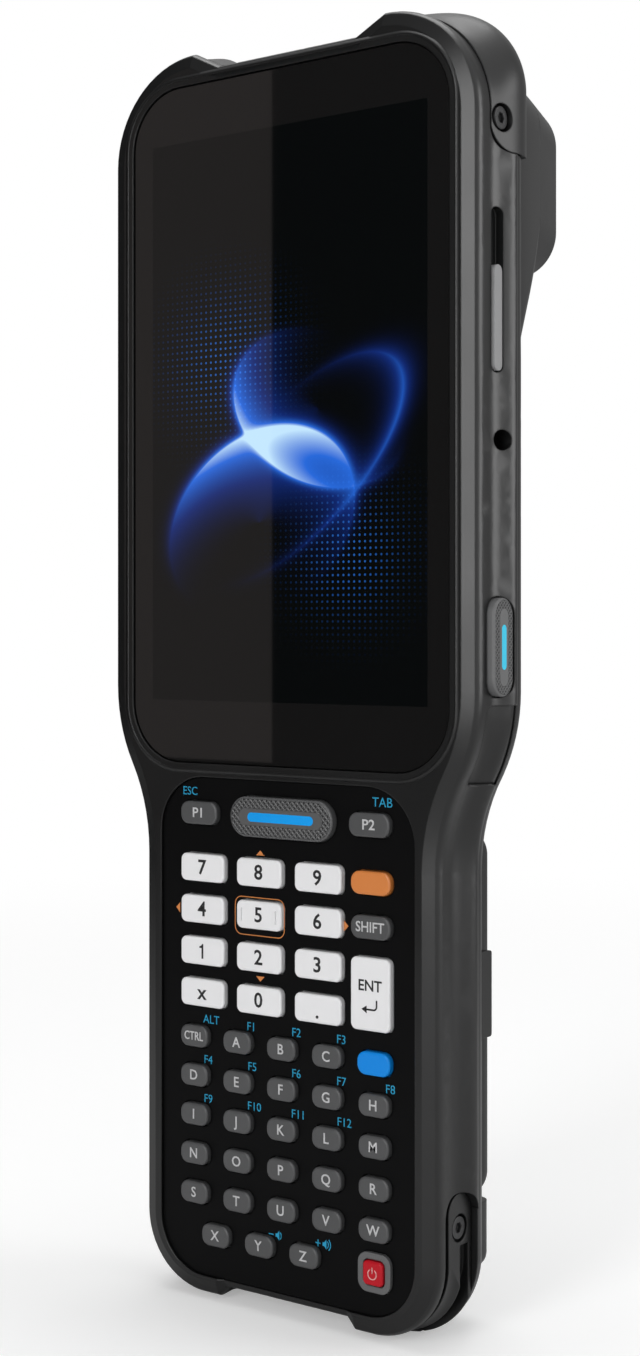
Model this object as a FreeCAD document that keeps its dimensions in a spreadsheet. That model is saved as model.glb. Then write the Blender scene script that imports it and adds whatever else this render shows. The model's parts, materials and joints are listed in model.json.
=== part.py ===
import FreeCAD, Part
import math
import os
import Sketcher
from FreeCAD import Placement, Rotation, Vector

# Handheld barcode terminal, standing upright: X across, Y into the case from the screen side, Z up.
# Depths are counted from the front rim. Each piece is then moved forward by origin_depth, so that
# the model's origin is at the middle of its footprint.

SIZES = [
    ("origin_depth", 18.8, "front rim to the middle of the footprint"),
    ("display_half", 38.1, "half width at the display, at the parting line"),
    ("handle_half", 30.9, "half width at the keypad, at the parting line"),
    ("body_top", 206.5, "top edge between the corner caps"),
    ("cap_top", 209.3, "top of the corner caps"),
    ("body_bottom", 1.4, "bottom edge between the corner caps"),
    ("waist_low", 73.9, "where the handle starts to widen"),
    ("waist_high", 101.9, "where the display section is full width"),
    ("top_corner", 18.5, "corner radius at the top"),
    ("bottom_corner", 13.5, "corner radius at the bottom"),
    ("top_dip_half", 14.0, "half width of the flat between the top caps"),
    ("bottom_dip_half", 12.5, "half width of the flat between the bottom caps"),
    ("foot_flat", 0.35, "height taken off the rounded bottom for the feet"),
    ("bottom_dip_run", 1.5, "run of the step at each end of that flat"),
    ("parting_depth", 10.4, "depth of the seam between the shells"),
    ("rear_depth", 17.5, "depth of the back of the rear shell"),
    ("rear_side_inset", 0.45, "rear shell's side, inside the widest outline"),
    ("rear_side_depth", 12.0, "depth of that line"),
    ("rear_slope_inset", 2.1, "rear shell's slope, inside the widest outline"),
    ("rear_slope_depth", 14.4, "depth of that line"),
    ("rear_turn_inset", 4.4, "where the slope turns to the back"),
    ("rear_turn_depth", 16.7, "depth of that line"),
    ("rear_flat_inset", 6.5, "edge of the flat back, inside the widest outline"),
    ("seam_step", 0.15, "step inward at the seam"),
    ("rim_inset", 3.7, "front flat's edge, inside the widest outline"),
    ("bevel_inset", 1.65, "bevel's outer edge, inside the widest outline"),
    ("bevel_depth", 0.7, "depth of the bevel"),
    ("shoulder_inset", 1.15, "side surface just behind the bevel"),
    ("shoulder_depth", 1.7, "depth of that line"),
    ("crease_inset", 1.3, "side surface at the crease"),
    ("crease_depth", 4.5, "depth of the crease"),
    ("flare_inset", 0.4, "side surface on the flare"),
    ("flare_depth", 7.6, "depth of that line"),
    ("shell_inset", 2.8, "inside of the side walls, inside the widest outline"),
    ("face_back", 4.2, "back of the front wall at the display"),
    ("window_half", 32.2, "half width of the cover glass"),
    ("window_low", 89.3, "bottom of the cover glass"),
    ("window_high", 202.7, "top of the cover glass"),
    ("window_corner", 10.0, "corner radius of the cover glass"),
    ("window_depth", 1.4, "depth of the glass below the rim"),
    ("window_thick", 1.2, "thickness of the glass"),
    ("window_gap", 0.1, "gap round the glass"),
    ("screen_half", 28.08, "half width of the picture"),
    ("screen_low", 99.7, "bottom of the picture"),
    ("screen_high", 193.3, "top of the picture"),
    ("module_margin", 1.6, "display module beyond the picture"),
    ("module_thick", 3.0, "thickness of the display module"),
    ("module_gap", 0.3, "gap round the display module"),
    ("board_depth", 7.2, "depth of the main board's front"),
    ("board_thick", 1.2, "thickness of the circuit boards"),
    ("board_half", 30.0, "half width of the main board"),
    ("board_low", 106.0, "bottom of the main board"),
    ("board_high", 184.0, "top of the main board"),
    ("display_hollow_low", 99.0, "bottom of the hollow behind the display"),
    ("display_hollow_high", 202.0, "top of the hollow behind the display"),
    ("rear_wall", 1.8, "thickness of the rear wall"),
    ("hollow_turn", 13.0, "depth where the rear hollow narrows"),
    ("hollow_narrow", 3.6, "how far it narrows on each side"),
    ("shoulder_low", 87.5, "bottom of the thumb recess under the trigger"),
    ("shoulder_high", 99.9, "top of the thumb recess"),
    ("shoulder_front", 3.6, "front edge of the thumb recess, depth"),
    ("shoulder_sink", 0.5, "depth of the thumb recess below the surface"),
    ("shoulder_round", 1.5, "corner radius of the thumb recess"),
    ("panel_half", 25.8, "half width of the keypad panel"),
    ("panel_low", 4.0, "bottom of the keypad panel"),
    ("panel_high", 86.9, "top of the keypad panel"),
    ("panel_corner", 9.0, "corner radius of the keypad panel"),
    ("panel_depth", 0.5, "depth of the panel below the rim"),
    ("panel_thick", 1.2, "thickness of the panel"),
    ("panel_ledge", 1.8, "width of the ledge that carries the panel"),
    ("ledge_thick", 1.4, "thickness of that ledge"),
    ("mat_thick", 1.2, "thickness of the keypad mat"),
    ("mat_margin", 0.2, "mat inside the panel's outline"),
    ("key_gap", 0.2, "gap round each key"),
    ("key_proud", 0.9, "height of a key above the panel"),
    ("key_lip", 0.45, "lip of a key beyond its hole"),
    ("key_lip_thick", 0.5, "thickness of that lip"),
    ("key_edge", 0.35, "rounding of a key's top edge"),
    ("number_width", 9.3, "white key width"),
    ("number_height", 4.6, "white key height"),
    ("number_corner", 1.1, "white key corner radius"),
    ("number_left", -16.58, "first white column"),
    ("number_pitch_across", 11.99, "white key pitch across"),
    ("number_top", 71.89, "first white row"),
    ("number_pitch_down", 6.94, "white key pitch down"),
    ("letter_width", 5.8, "letter key width"),
    ("letter_height", 3.6, "letter key height"),
    ("letter_corner", 1.5, "letter key corner radius"),
    ("letter_left", -18.4, "first letter column"),
    ("letter_pitch_across", 9.17, "letter key pitch across"),
    ("letter_top", 43.68, "first letter row"),
    ("letter_pitch_down", 6.52, "letter key pitch down"),
    ("side_column", 17.7, "centre of the right-hand key column"),
    ("side_key_width", 7.6, "width of the keys in that column"),
    ("side_key_height", 3.7, "height of the coloured and shift keys"),
    ("side_key_corner", 1.6, "corner radius of those keys"),
    ("enter_height", 11.5, "height of the enter key"),
    ("enter_centre", 54.5, "centre of the enter key"),
    ("blue_width", 6.3, "width of the blue key"),
    ("program_row", 80.97, "row of the two program keys"),
    ("program_across", 17.4, "centre of a program key"),
    ("program_width", 7.8, "program key width"),
    ("program_height", 3.8, "program key height"),
    ("scan_key_width", 20.9, "front scan key width"),
    ("scan_key_height", 6.6, "front scan key height"),
    ("scan_key_round", 3.29, "front scan key end radius"),
    ("scan_key_proud", 1.1, "height of the scan key above the panel"),
    ("scan_bar_width", 13.4, "light bar width"),
    ("scan_bar_height", 1.5, "light bar height"),
    ("bar_thick", 0.6, "thickness of the light bars"),
    ("power_centre", 11.0, "centre of the power key"),
    ("power_width", 3.8, "power key width"),
    ("power_corner", 0.8, "power key corner radius"),
    ("ring_width", 6.2, "power key ring width"),
    ("ring_corner", 1.8, "power key ring corner radius"),
    ("ring_proud", 0.6, "height of the ring above the panel"),
    ("cap_thick", 3.0, "corner caps, inside the widest outline"),
    ("cap_front", 4.7, "depth of the top caps' front edge"),
    ("cap_back", 14.2, "depth of the top caps' back edge"),
    ("cap_corner", 14.0, "corner radius of the top caps at their widest"),
    ("cap_heel", 5.3, "length of the curve at the top caps' lower front corner"),
    ("cap_gap", 0.25, "gap round the corner caps"),
    ("low_cap_gap", 1.1, "shadow gap in front of the bottom caps"),
    ("low_cap_back", 10.2, "depth of the bottom caps' back edge"),
    ("top_cap_low", 185.2, "lower end of the top caps"),
    ("top_cap_reach", 16.5, "where the top caps start on the top edge"),
    ("low_cap_high", 23.8, "arch top of the bottom caps"),
    ("low_cap_front", 3.9, "depth of the bottom caps' front edge"),
    ("low_cap_sink", 1.3, "flat side of the bottom caps, inside the widest outline"),
    ("low_cap_reach", 14.5, "where the bottom caps start on the bottom edge"),
    ("screw_head", 1.75, "screw head radius"),
    ("screw_ring", 2.2, "screw recess radius"),
    ("screw_depth", 7.0, "depth of the cap screws' axis"),
    ("screw_head_thick", 1.1, "screw head thickness"),
    ("screw_shank", 0.8, "screw shank radius"),
    ("screw_length", 4.0, "screw length under the head"),
    ("screw_socket", 0.9, "socket radius in the screw head"),
    ("socket_deep", 0.7, "depth of the screw sockets"),
    ("screw_sink", 0.9, "top screw heads' outer face, inside the widest outline"),
    ("low_screw_sink", 1.5, "low screw heads' outer face, inside the widest outline"),
    ("top_screw", 190.2, "height of the top cap screws"),
    ("low_screw", 18.4, "height of the bottom cap screws"),
    ("strap_width", 2.4, "width of the strap groove"),
    ("strap_depth", 8.3, "depth of the strap groove's middle"),
    ("strap_across", 21.0, "where the strap groove ends on the bottom edge"),
    ("strap_high", 15.6, "top of the strap groove"),
    ("strap_sink", 2.3, "floor of the strap groove, inside the widest outline"),
    ("slot_width", 2.5, "switch slot width"),
    ("slot_depth", 6.0, "depth of the slot's centre line"),
    ("slot_length", 25.4, "switch slot length"),
    ("slot_centre", 163.7, "switch slot centre"),
    ("slot_sink", 2.1, "slot floor, inside the widest outline"),
    ("slider_width", 2.3, "slider width"),
    ("slider_length", 16.3, "slider length"),
    ("slider_end", 0.25, "gap at the slider's lower end"),
    ("slider_sink", 0.8, "slider's face, inside the widest outline"),
    ("slider_gap", 0.05, "gap under the slider"),
    ("port_radius", 1.6, "round opening radius"),
    ("port_centre", 140.7, "round opening centre"),
    ("trigger_width", 5.6, "side trigger width"),
    ("trigger_length", 15.2, "side trigger length"),
    ("trigger_depth", 6.2, "depth of the trigger's centre line"),
    ("trigger_centre", 108.9, "height of the trigger's centre"),
    ("trigger_proud", 0.15, "trigger's face, outside the widest outline"),
    ("trigger_gap", 0.2, "gap round the trigger"),
    ("trigger_edge", 0.5, "rounding of the trigger's edge"),
    ("trigger_lip", 1.0, "trigger lip beyond its ends"),
    ("trigger_lip_thick", 0.7, "thickness of that lip"),
    ("trigger_lip_width", 4.2, "width of that lip"),
    ("trigger_bar_width", 1.3, "trigger light bar width"),
    ("trigger_bar_length", 6.9, "trigger light bar length"),
    ("battery_half", 27.2, "half width of the battery"),
    ("battery_low", 19.8, "bottom of the battery"),
    ("battery_high", 79.7, "top of the battery"),
    ("battery_front", 12.6, "depth of the battery's front face"),
    ("battery_back", 21.4, "depth of the battery's back"),
    ("battery_corner", 4.5, "corner radius of the battery"),
    ("battery_round", 3.5, "rounding of the battery's back edge"),
    ("battery_gap", 0.25, "gap round the battery"),
    ("bay_wall", 15.2, "depth where the side walls of the bay end"),
    ("bay_floor", 1.3, "thickness of the battery bay's floor"),
    ("latch_low", 46.8, "bottom of the battery latch"),
    ("latch_high", 60.5, "top of the battery latch"),
    ("latch_front", 12.4, "depth of the latch's front"),
    ("latch_back", 16.4, "depth of the latch's back"),
    ("latch_reach", 2.4, "latch face beyond the battery's side"),
    ("latch_root", 2.4, "latch's inner end inside the battery's side"),
    ("latch_travel", 1.5, "latch travel"),
    ("latch_gap", 0.2, "gap round the latch"),
    ("contact_width", 1.6, "width of a battery contact"),
    ("contact_pitch", 3.2, "pitch of the contacts"),
    ("contact_height", 4.0, "height of a battery contact"),
    ("contact_root", 0.4, "contact sunk in the bay's floor"),
    ("contact_centre", 66.0, "height of the battery contacts"),
    ("dock_width", 1.4, "width of a dock contact"),
    ("dock_pitch", 2.6, "pitch of the dock contacts"),
    ("dock_length", 2.4, "length of a dock contact"),
    ("dock_thick", 0.8, "thickness of a dock contact"),
    ("dock_depth", 13.0, "depth of the dock contacts"),
    ("foot_half", 27.0, "half width of the foot below the battery"),
    ("foot_low", 8.6, "bottom of that foot"),
    ("foot_back", 20.5, "depth of that foot's back"),
    ("foot_round", 2.6, "rounding of that foot's edges"),
    ("hump_half", 36.2, "half width of the scan housing at its root"),
    ("hump_low", 143.0, "bottom of the scan housing at its root"),
    ("hump_high", 203.0, "top of the scan housing at its root"),
    ("hump_corner", 13.0, "corner radius of the scan housing at its root"),
    ("hump_root", 13.5, "depth of that root, inside the rear shell"),
    ("hood_front", 24.0, "depth of the hood's front edge"),
    ("hood_back", 38.0, "depth of the hood's back"),
    ("hood_half", 34.0, "half width of the hood at its front edge"),
    ("hood_low", 169.4, "bottom of the hood at its front edge"),
    ("hood_high", 200.4, "top of the hood at its front edge"),
    ("hood_corner", 8.5, "corner radius of the hood at its front edge"),
    ("hood_taper", 4.6, "how far each side of the hood comes in by its back"),
    ("hood_slope", 1.6, "how far its top and bottom come in by its back"),
    ("hood_round", 4.0, "rounding of the hood's back edge"),
    ("hood_wall", 2.0, "wall of the hood"),
    ("scan_half", 15.0, "half width of the scan window"),
    ("scan_front", 26.0, "front edge of the scan window, depth"),
    ("scan_back", 34.0, "back edge of the scan window, depth"),
    ("scan_thick", 1.2, "thickness of the scan window"),
    ("scan_sink", 1.9, "scan window's outer face below the hood's front top edge"),
    ("scan_ledge", 1.0, "ledge under the scan window's edge"),
    ("scan_gap", 0.1, "gap round the scan window"),
    ("engine_half", 11.0, "half width of the scan engine"),
    ("engine_height", 9.0, "height of the scan engine"),
    ("engine_front", 24.6, "depth of the scan engine's front"),
    ("engine_back", 32.6, "depth of the scan engine's back"),
    ("engine_clear", 2.2, "space between the engine and the window"),
    ("bracket_thick", 1.2, "thickness of the engine's bracket"),
    ("bracket_side", 3.0, "bracket beyond the engine on each side"),
    ("bracket_front", 14.6, "depth of the bracket's front edge"),
    ("rear_screw_head", 2.1, "rear screw head radius"),
    ("rear_screw_shank", 1.0, "rear screw shank radius"),
    ("rear_screw_length", 3.0, "rear screw length under the head"),
    ("rear_screw_sink", 0.4, "rear screw head's face below the back"),
    ("neck_screw_across", 26.0, "upper rear screws from the middle"),
    ("neck_screw_up", 131.0, "height of the upper rear screws"),
    ("waist_screw_across", 19.0, "lower rear screws from the middle"),
    ("waist_screw_up", 91.5, "height of the lower rear screws"),
    ("speaker_half", 9.0, "half width of the speaker"),
    ("speaker_height", 11.0, "height of the speaker"),
    ("speaker_thick", 2.6, "thickness of the speaker"),
    ("speaker_centre", 113.0, "height of the speaker's centre"),
    ("grille_width", 1.3, "width of a speaker slot"),
    ("grille_length", 7.0, "length of a speaker slot"),
    ("grille_pitch", 3.0, "pitch of the speaker slots"),
    ("switch_reach", 33.4, "plunger end of the trigger switches, from the middle"),
    ("switch_length", 5.0, "length of a trigger switch"),
    ("switch_front", 5.6, "depth of the trigger switches' front"),
    ("gasket_width", 0.9, "width of the seal at the seam"),
    ("fit_gap", 0.1, "gap of a seated piece"),
]

doc = FreeCAD.newDocument("terminal")
sheet = doc.addObject("Spreadsheet::Sheet", "sizes")
for row, (alias, number, note) in enumerate(SIZES, start=1):
    sheet.set(f"A{row}", str(number))
    sheet.setAlias(f"A{row}", alias)
    sheet.set(f"B{row}", note)
doc.recompute()

nodes = []


def size(alias):
    return float(sheet.get(alias))


def cell(alias):
    return f"sizes.{alias}"


# Part helpers for the sculpted shells

def point(x, z, y=0.0):
    return Vector(x, y, z)


def arc(centre_x, centre_z, radius, start, end, y):
    angles = [math.radians(angle) for angle in (start, (start + end) / 2, end)]
    ends = [point(centre_x + radius * math.cos(a), centre_z + radius * math.sin(a), y) for a in angles]
    return Part.Arc(*ends).toShape()


def mirrored(edge):
    return edge.mirror(Vector(0, 0, 0), Vector(1, 0, 0))


def outline(inset, depth, corner=None):
    """Front outline at one depth: two corner arcs and an S-curved waist a side; a cap's top corner may be tighter."""
    wide, narrow = size("display_half"), size("handle_half")
    step = wide - narrow
    rise = size("waist_high") - size("waist_low")
    waist = (step * step + rise * rise) / (4 * step)
    turn = math.degrees(2 * math.atan2(step, rise))
    top_radius, low_radius = corner or size("top_corner"), size("bottom_corner")
    top_x, top_z = wide - top_radius, size("cap_top") - top_radius
    ramp_x, top_level = wide - size("top_corner"), size("cap_top") - inset
    foot = inset - size("foot_flat")
    low_x, low_z = narrow - low_radius, low_radius - size("foot_flat")
    flat_top, flat_low = size("body_top") - inset, size("body_bottom") + inset
    ramp_top = size("top_dip_half")
    ramp_low = size("bottom_dip_half")
    step_low = ramp_low + size("bottom_dip_run")
    corners = [
        (point(0, flat_low, depth), point(ramp_low, flat_low, depth)),
        (point(ramp_low, flat_low, depth), point(step_low, foot, depth)),
        (point(step_low, foot, depth), point(low_x, foot, depth)),
        arc(low_x, low_z, low_radius - inset, -90, 0, depth),
        (point(narrow - inset, low_z, depth), point(narrow - inset, size("waist_low"), depth)),
        arc(narrow + waist, size("waist_low"), waist + inset, 180, 180 - turn, depth),
        arc(wide - waist, size("waist_high"), waist - inset, -turn, 0, depth),
        (point(wide - inset, size("waist_high"), depth), point(wide - inset, top_z, depth)),
        arc(top_x, top_z, top_radius - inset, 0, 90, depth),
        (point(ramp_x, top_level, depth), point(ramp_top, flat_top, depth)),
        (point(ramp_top, flat_top, depth), point(0, flat_top, depth)),
    ]
    if corner:
        corners.append((point(top_x, top_level, depth), point(ramp_x, top_level, depth)))
    right = [Part.LineSegment(*c).toShape() if isinstance(c, tuple) else c for c in corners]
    return Part.Wire(Part.__sortEdges__(right + [mirrored(e) for e in right]))


def prism(inset, start, end):
    face = Part.Face(outline(inset, start))
    return face.extrude(Vector(0, end - start, 0))


def block(x0, x1, y0, y1, z0, z1):
    return Part.makeBox(x1 - x0, y1 - y0, z1 - z0, Vector(x0, y0, z0))


def pill_block(half, low, high, corner, start, end, centre=0.0):
    """Upright rounded rectangle, extruded from one depth to another."""
    solid = block(centre - half, centre + half, start, end, low, high)
    edges = [e for e in solid.Edges if abs(e.tangentAt(e.FirstParameter).y) > 0.99]
    return solid.makeFillet(corner, edges)


def side_pill(width, length, depth, centre, start, end):
    """Rounded slot seen from the side, extruded along X."""
    solid = block(start, end, depth - width / 2, depth + width / 2, centre - length / 2, centre + length / 2)
    edges = [e for e in solid.Edges if abs(e.tangentAt(e.FirstParameter).x) > 0.99]
    return solid.makeFillet(width / 2 - 0.01, edges)


def side_cylinder(radius, depth, height, start, end):
    return Part.makeCylinder(radius, abs(end - start), Vector(start, depth, height), Vector(end - start, 0, 0))


def both_sides(solid):
    return [solid, solid.mirror(Vector(0, 0, 0), Vector(1, 0, 0))]


def side_profile(points, reach):
    """Closed YZ outline of lines and three-point arcs, extruded across the whole width."""
    edges = []
    for first, *middle, last in points:
        if middle:
            edges.append(Part.Arc(Vector(0, *first), Vector(0, *middle[0]), Vector(0, *last)).toShape())
        else:
            edges.append(Part.LineSegment(Vector(0, *first), Vector(0, *last)).toShape())
    return Part.Face(Part.Wire(edges)).extrude(Vector(reach, 0, 0))


def sculpted(label, solid):
    """Piece whose freeform skin has no sketched equivalent: its shape is set here, from the sheet."""
    feature = doc.addObject("Part::Feature", label)
    feature.Label = label
    feature.Shape = solid
    feature.Placement = Placement(Vector(0, -size("origin_depth"), 0), Rotation())
    nodes.append(feature)
    return feature


# Sketch helpers for the plates, keys and covers

def new_body(label, listed=True):
    body = doc.addObject("PartDesign::Body", label)
    body.Label = label
    body.setExpression("Placement.Base.y", "-" + cell("origin_depth"))
    if listed:
        nodes.append(body)
    return body


def sketch_on(body, name, role, across, up, out):
    sketch = body.newObject("Sketcher::SketchObject", name)
    plane = next(f for f in body.Origin.OriginFeatures if f.Role == role)
    sketch.AttachmentSupport = [(plane, "")]
    sketch.MapMode = "FlatFace"
    sketch.setExpression("AttachmentOffset.Base.x", across)
    sketch.setExpression("AttachmentOffset.Base.y", up)
    sketch.setExpression("AttachmentOffset.Base.z", out)
    return sketch


def rounded_rect(sketch, width, height, radius):
    """Rectangle with round corners, centred on the sketch, its three sizes bound to the sheet."""
    w, t, r = (sketch.evalExpression(text) for text in (width, height, radius))
    x, z = w / 2, t / 2
    up = Vector(0, 0, 1)
    corners = [(x - r, z - r, 0), (-x + r, z - r, 90), (-x + r, -z + r, 180), (x - r, -z + r, 270)]
    for cx, cz, start in corners:
        circle = Part.Circle(Vector(cx, cz, 0), up, r)
        sketch.addGeometry(Part.ArcOfCircle(circle, math.radians(start), math.radians(start + 90)))
    sides = [((x - r, z), (-x + r, z)), ((-x, z - r), (-x, -z + r)),
             ((-x + r, -z), (x - r, -z)), ((x, -z + r), (x, z - r))]
    for first, last in sides:
        sketch.addGeometry(Part.LineSegment(Vector(*first, 0), Vector(*last, 0)))
    for corner in range(4):
        sketch.addConstraint(Sketcher.Constraint("Tangent", corner, 2, 4 + corner, 1))
        sketch.addConstraint(Sketcher.Constraint("Tangent", 4 + corner, 2, (corner + 1) % 4, 1))
    for corner in (1, 2, 3):
        sketch.addConstraint(Sketcher.Constraint("Equal", 0, corner))
    for side in (4, 6):
        sketch.addConstraint(Sketcher.Constraint("Horizontal", side))
        sketch.addConstraint(Sketcher.Constraint("Vertical", side + 1))
    sketch.addConstraint(Sketcher.Constraint("Symmetric", 0, 3, 2, 3, -1, 1))
    wide = sketch.addConstraint(Sketcher.Constraint("DistanceX", 5, 1, 7, 1, w))
    tall = sketch.addConstraint(Sketcher.Constraint("DistanceY", 6, 1, 4, 1, t))
    curve = sketch.addConstraint(Sketcher.Constraint("Radius", 0, r))
    sketch.setExpression(f"Constraints[{wide}]", width)
    sketch.setExpression(f"Constraints[{tall}]", height)
    sketch.setExpression(f"Constraints[{curve}]", radius)


def ring_circle(sketch, radius):
    sketch.addGeometry(Part.Circle(Vector(0, 0, 0), Vector(0, 0, 1), 1.0))
    sketch.addConstraint(Sketcher.Constraint("Coincident", 0, 3, -1, 1))
    sketch.setExpression(f"Constraints[{sketch.addConstraint(Sketcher.Constraint('Radius', 0, 1.0))}]", radius)


def add_feature(body, kind, name, sketch, length, backward):
    feature = body.newObject(f"PartDesign::{kind}", name)
    feature.Profile = sketch
    feature.setExpression("Length", length)
    feature.Reversed = backward
    sketch.Visibility = False
    return feature


def plate(body, name, centre, low_high, radius, start, thick, kind="Pad"):
    """Rounded plate facing the front: from the depth start, thick deep."""
    across, up = centre
    width, height = low_high
    sketch = sketch_on(body, name + "_outline", "XZ_Plane", across, up, f"-({start})")
    rounded_rect(sketch, width, height, radius)
    return add_feature(body, kind, name, sketch, thick, kind == "Pad")


def side_plate(body, name, depth, up, width, length, radius, start, thick, kind="Pad"):
    """Rounded plate facing the side: from start outward along X."""
    sketch = sketch_on(body, name + "_outline", "YZ_Plane", depth, up, start)
    rounded_rect(sketch, width, length, radius)
    return add_feature(body, kind, name, sketch, thick, False)


def flat_edges(shape, axis, level):
    names = []
    for index, edge in enumerate(shape.Edges, start=1):
        box = edge.BoundBox
        low, high = (box.YMin, box.YMax) if axis == "y" else (box.XMin, box.XMax)
        if abs(low - level) < 1e-4 and abs(high - level) < 1e-4:
            names.append(f"Edge{index}")
    return names


def round_edges(body, base, axis, level, radius):
    doc.recompute()
    fillet = body.newObject("PartDesign::Fillet", body.Label + "_rounding")
    fillet.Base = (base, flat_edges(base.Shape, axis, level))
    fillet.setExpression("Radius", radius)
    return fillet


def span(low, high):
    return f"{cell(high)} - {cell(low)}", f"({cell(high)} + {cell(low)}) / 2"


# Case shells

FRONT_SECTIONS = [("bevel_inset", "bevel_depth"), ("shoulder_inset", "shoulder_depth"),
                  ("crease_inset", "crease_depth"), ("flare_inset", "flare_depth")]
REAR_SECTIONS = [("seam_step", "parting_depth"), ("rear_side_inset", "rear_side_depth"),
                 ("rear_slope_inset", "rear_slope_depth"), ("rear_turn_inset", "rear_turn_depth"),
                 ("rear_flat_inset", "rear_depth")]


def front_skin(deeper=0.0):
    """Outer form of the front shell; deeper moves its sides inward for the thumb recesses."""
    wires = [outline(size(inset) + deeper, size(depth)) for inset, depth in FRONT_SECTIONS]
    wires.append(outline(deeper, size("parting_depth")))
    bevel = Part.makeLoft([outline(size("rim_inset") + deeper, 0.0), wires[0]], True, True)
    return bevel.fuse(Part.makeLoft(wires, True, False)).removeSplitter()


def rear_skin():
    return Part.makeLoft([outline(size(inset), size(depth)) for inset, depth in REAR_SECTIONS], True, False)


def foot_skin():
    """Raised foot of the rear shell below the battery."""
    top = size("battery_low") - size("battery_gap")
    root = size("parting_depth") + size("bay_floor")
    foot = pill_block(size("foot_half"), size("foot_low"), top + size("foot_round"), size("foot_round"), root,
                      size("foot_back"))
    return foot.makeFillet(size("foot_round") * 0.8, level_edges(foot, size("foot_back")))


def level_edges(solid, depth):
    """Edges that lie in the plane at one depth."""
    boxes = [(edge, edge.BoundBox) for edge in solid.Edges]
    return [edge for edge, box in boxes if abs(box.YMin - depth) < 1e-4 and abs(box.YMax - depth) < 1e-4]


def rounded_wire(half, low, high, corner, depth):
    """Upright rounded rectangle at one depth, as a section for a loft."""
    edges = level_edges(pill_block(half, low, high, corner, depth, depth + 1.0), depth)
    return Part.Wire(Part.__sortEdges__(edges))


def between(first, last, share):
    return first + (last - first) * share


# Scan housing sections between its root and the hood's front edge: share of the way in depth, in
# width, at the bottom, at the top and in corner radius
HUMP_SECTIONS = [(0.0, 0.0, 0.0, 0.0, 0.0), (0.38, 0.30, 0.36, 0.22, 0.3), (0.68, 0.62, 0.62, 0.5, 0.6),
                 (1.0, 1.0, 1.0, 1.0, 1.0)]


def hump_skin():
    """Scan housing: a loft that rises from the back of the rear shell to the hood."""
    wires = []
    for deep, wide, bottom, top, curve in HUMP_SECTIONS:
        wires.append(rounded_wire(between(size("hump_half"), size("hood_half"), wide),
                                  between(size("hump_low"), size("hood_low"), bottom),
                                  between(size("hump_high"), size("hood_high"), top),
                                  between(size("hump_corner"), size("hood_corner"), curve),
                                  between(size("hump_root"), size("hood_front"), deep)))
    return Part.makeLoft(wires, True, False)


# Top cap sections: inset, depth and how far the corner is from the case's corner to the cap's own
CAP_SECTIONS = [(1.3, 4.4, 0.1), (0.75, 6.6, 0.3), (0.15, 9.5, 0.8), (0.1, 12.0, 1.0), (1.0, 14.6, 1.0)]


def cap_skin():
    """Outer form of the top caps, squarer at the corner than the shells they wrap."""
    wires = [outline(inset, depth, between(size("top_corner"), size("cap_corner"), share))
             for inset, depth, share in CAP_SECTIONS]
    return Part.makeLoft(wires, True, False)


def cap_zone(end, side, grow):
    """Space of one corner cap; grow widens it by the gap for the cut in the shells."""
    thick = size("cap_thick") + grow
    if end == "top":
        low, front, back = size("top_cap_low") - grow, size("cap_front") - grow, size("cap_back") + grow
        beyond = size("cap_top") + 5
        heel = front + size("cap_heel")
        loops = [((front, beyond), (front, low + 3.4)), ((front, low + 3.4), (front + 1.6, low + 1.0), (heel, low)),
                 ((heel, low), (back, low)), ((back, low), (back, beyond)), ((back, beyond), (front, beyond))]
        reach = size("top_cap_reach") - grow
    else:
        high, back = size("low_cap_high") + grow, size("low_cap_back") + grow
        front = size("low_cap_front") - (size("low_cap_gap") if grow else 0)
        beyond = -5.0
        spring = high - (back - front) / 2
        loops = [((front, beyond), (front, spring)), ((front, spring), ((front + back) / 2, high), (back, spring)),
                 ((back, spring), (back, beyond)), ((back, beyond), (front, beyond))]
        reach = size("low_cap_reach") - grow
    wedge = side_profile(loops, size("display_half") + 5).cut(block(-1, reach, -1, 40, -10, 230))
    ring = wedge.cut(prism(thick, -1.0, 40.0))
    return ring if side == "right" else ring.mirror(Vector(0, 0, 0), Vector(1, 0, 0))


CAP_ENDS = [("top", "right"), ("top", "left"), ("bottom", "right"), ("bottom", "left")]


def cap_half(end):
    return size("display_half") if end == "top" else size("handle_half")


def screw_height(end):
    return size("top_screw") if end == "top" else size("low_screw")


def screw_face(end):
    return cap_half(end) - (size("screw_sink") if end == "top" else size("low_screw_sink"))


def screw_holes(end, radius, start, stop):
    """Holes on the cap screws' axis, from start inside the head's face to stop outside it."""
    face = screw_face(end)
    return both_sides(side_cylinder(radius, size("screw_depth"), screw_height(end), face - start, face + stop))


def contact_places(count, pitch):
    return [(index - (count - 1) / 2) * size(pitch) for index in range(count)]


def lip_length():
    return size("trigger_length") + 2 * (size("trigger_gap") + size("trigger_lip"))


def lip_depth():
    return size("face_back") + 0.3 + size("trigger_lip_width") / 2


def latch_face():
    return size("battery_half") + size("latch_reach")


def bracket_low():
    """Underside of the scan engine's bracket."""
    window_back = size("hood_high") - size("scan_sink") - size("scan_thick")
    return window_back - size("engine_clear") - size("engine_height") - size("bracket_thick")


def bracket_half():
    return size("engine_half") + size("bracket_side")


def rear_screw_places():
    places = []
    for pair in ("neck", "waist"):
        across, up = size(pair + "_screw_across"), size(pair + "_screw_up")
        places += [(across, up), (-across, up)]
    return places


def display_hollow(narrow, start, stop):
    corner = size("top_corner") - size("shell_inset") - 3 - narrow
    return pill_block(size("display_half") - size("shell_inset") - narrow, size("display_hollow_low") + narrow / 2,
                      size("display_hollow_high") - narrow, corner, start, stop)


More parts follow.
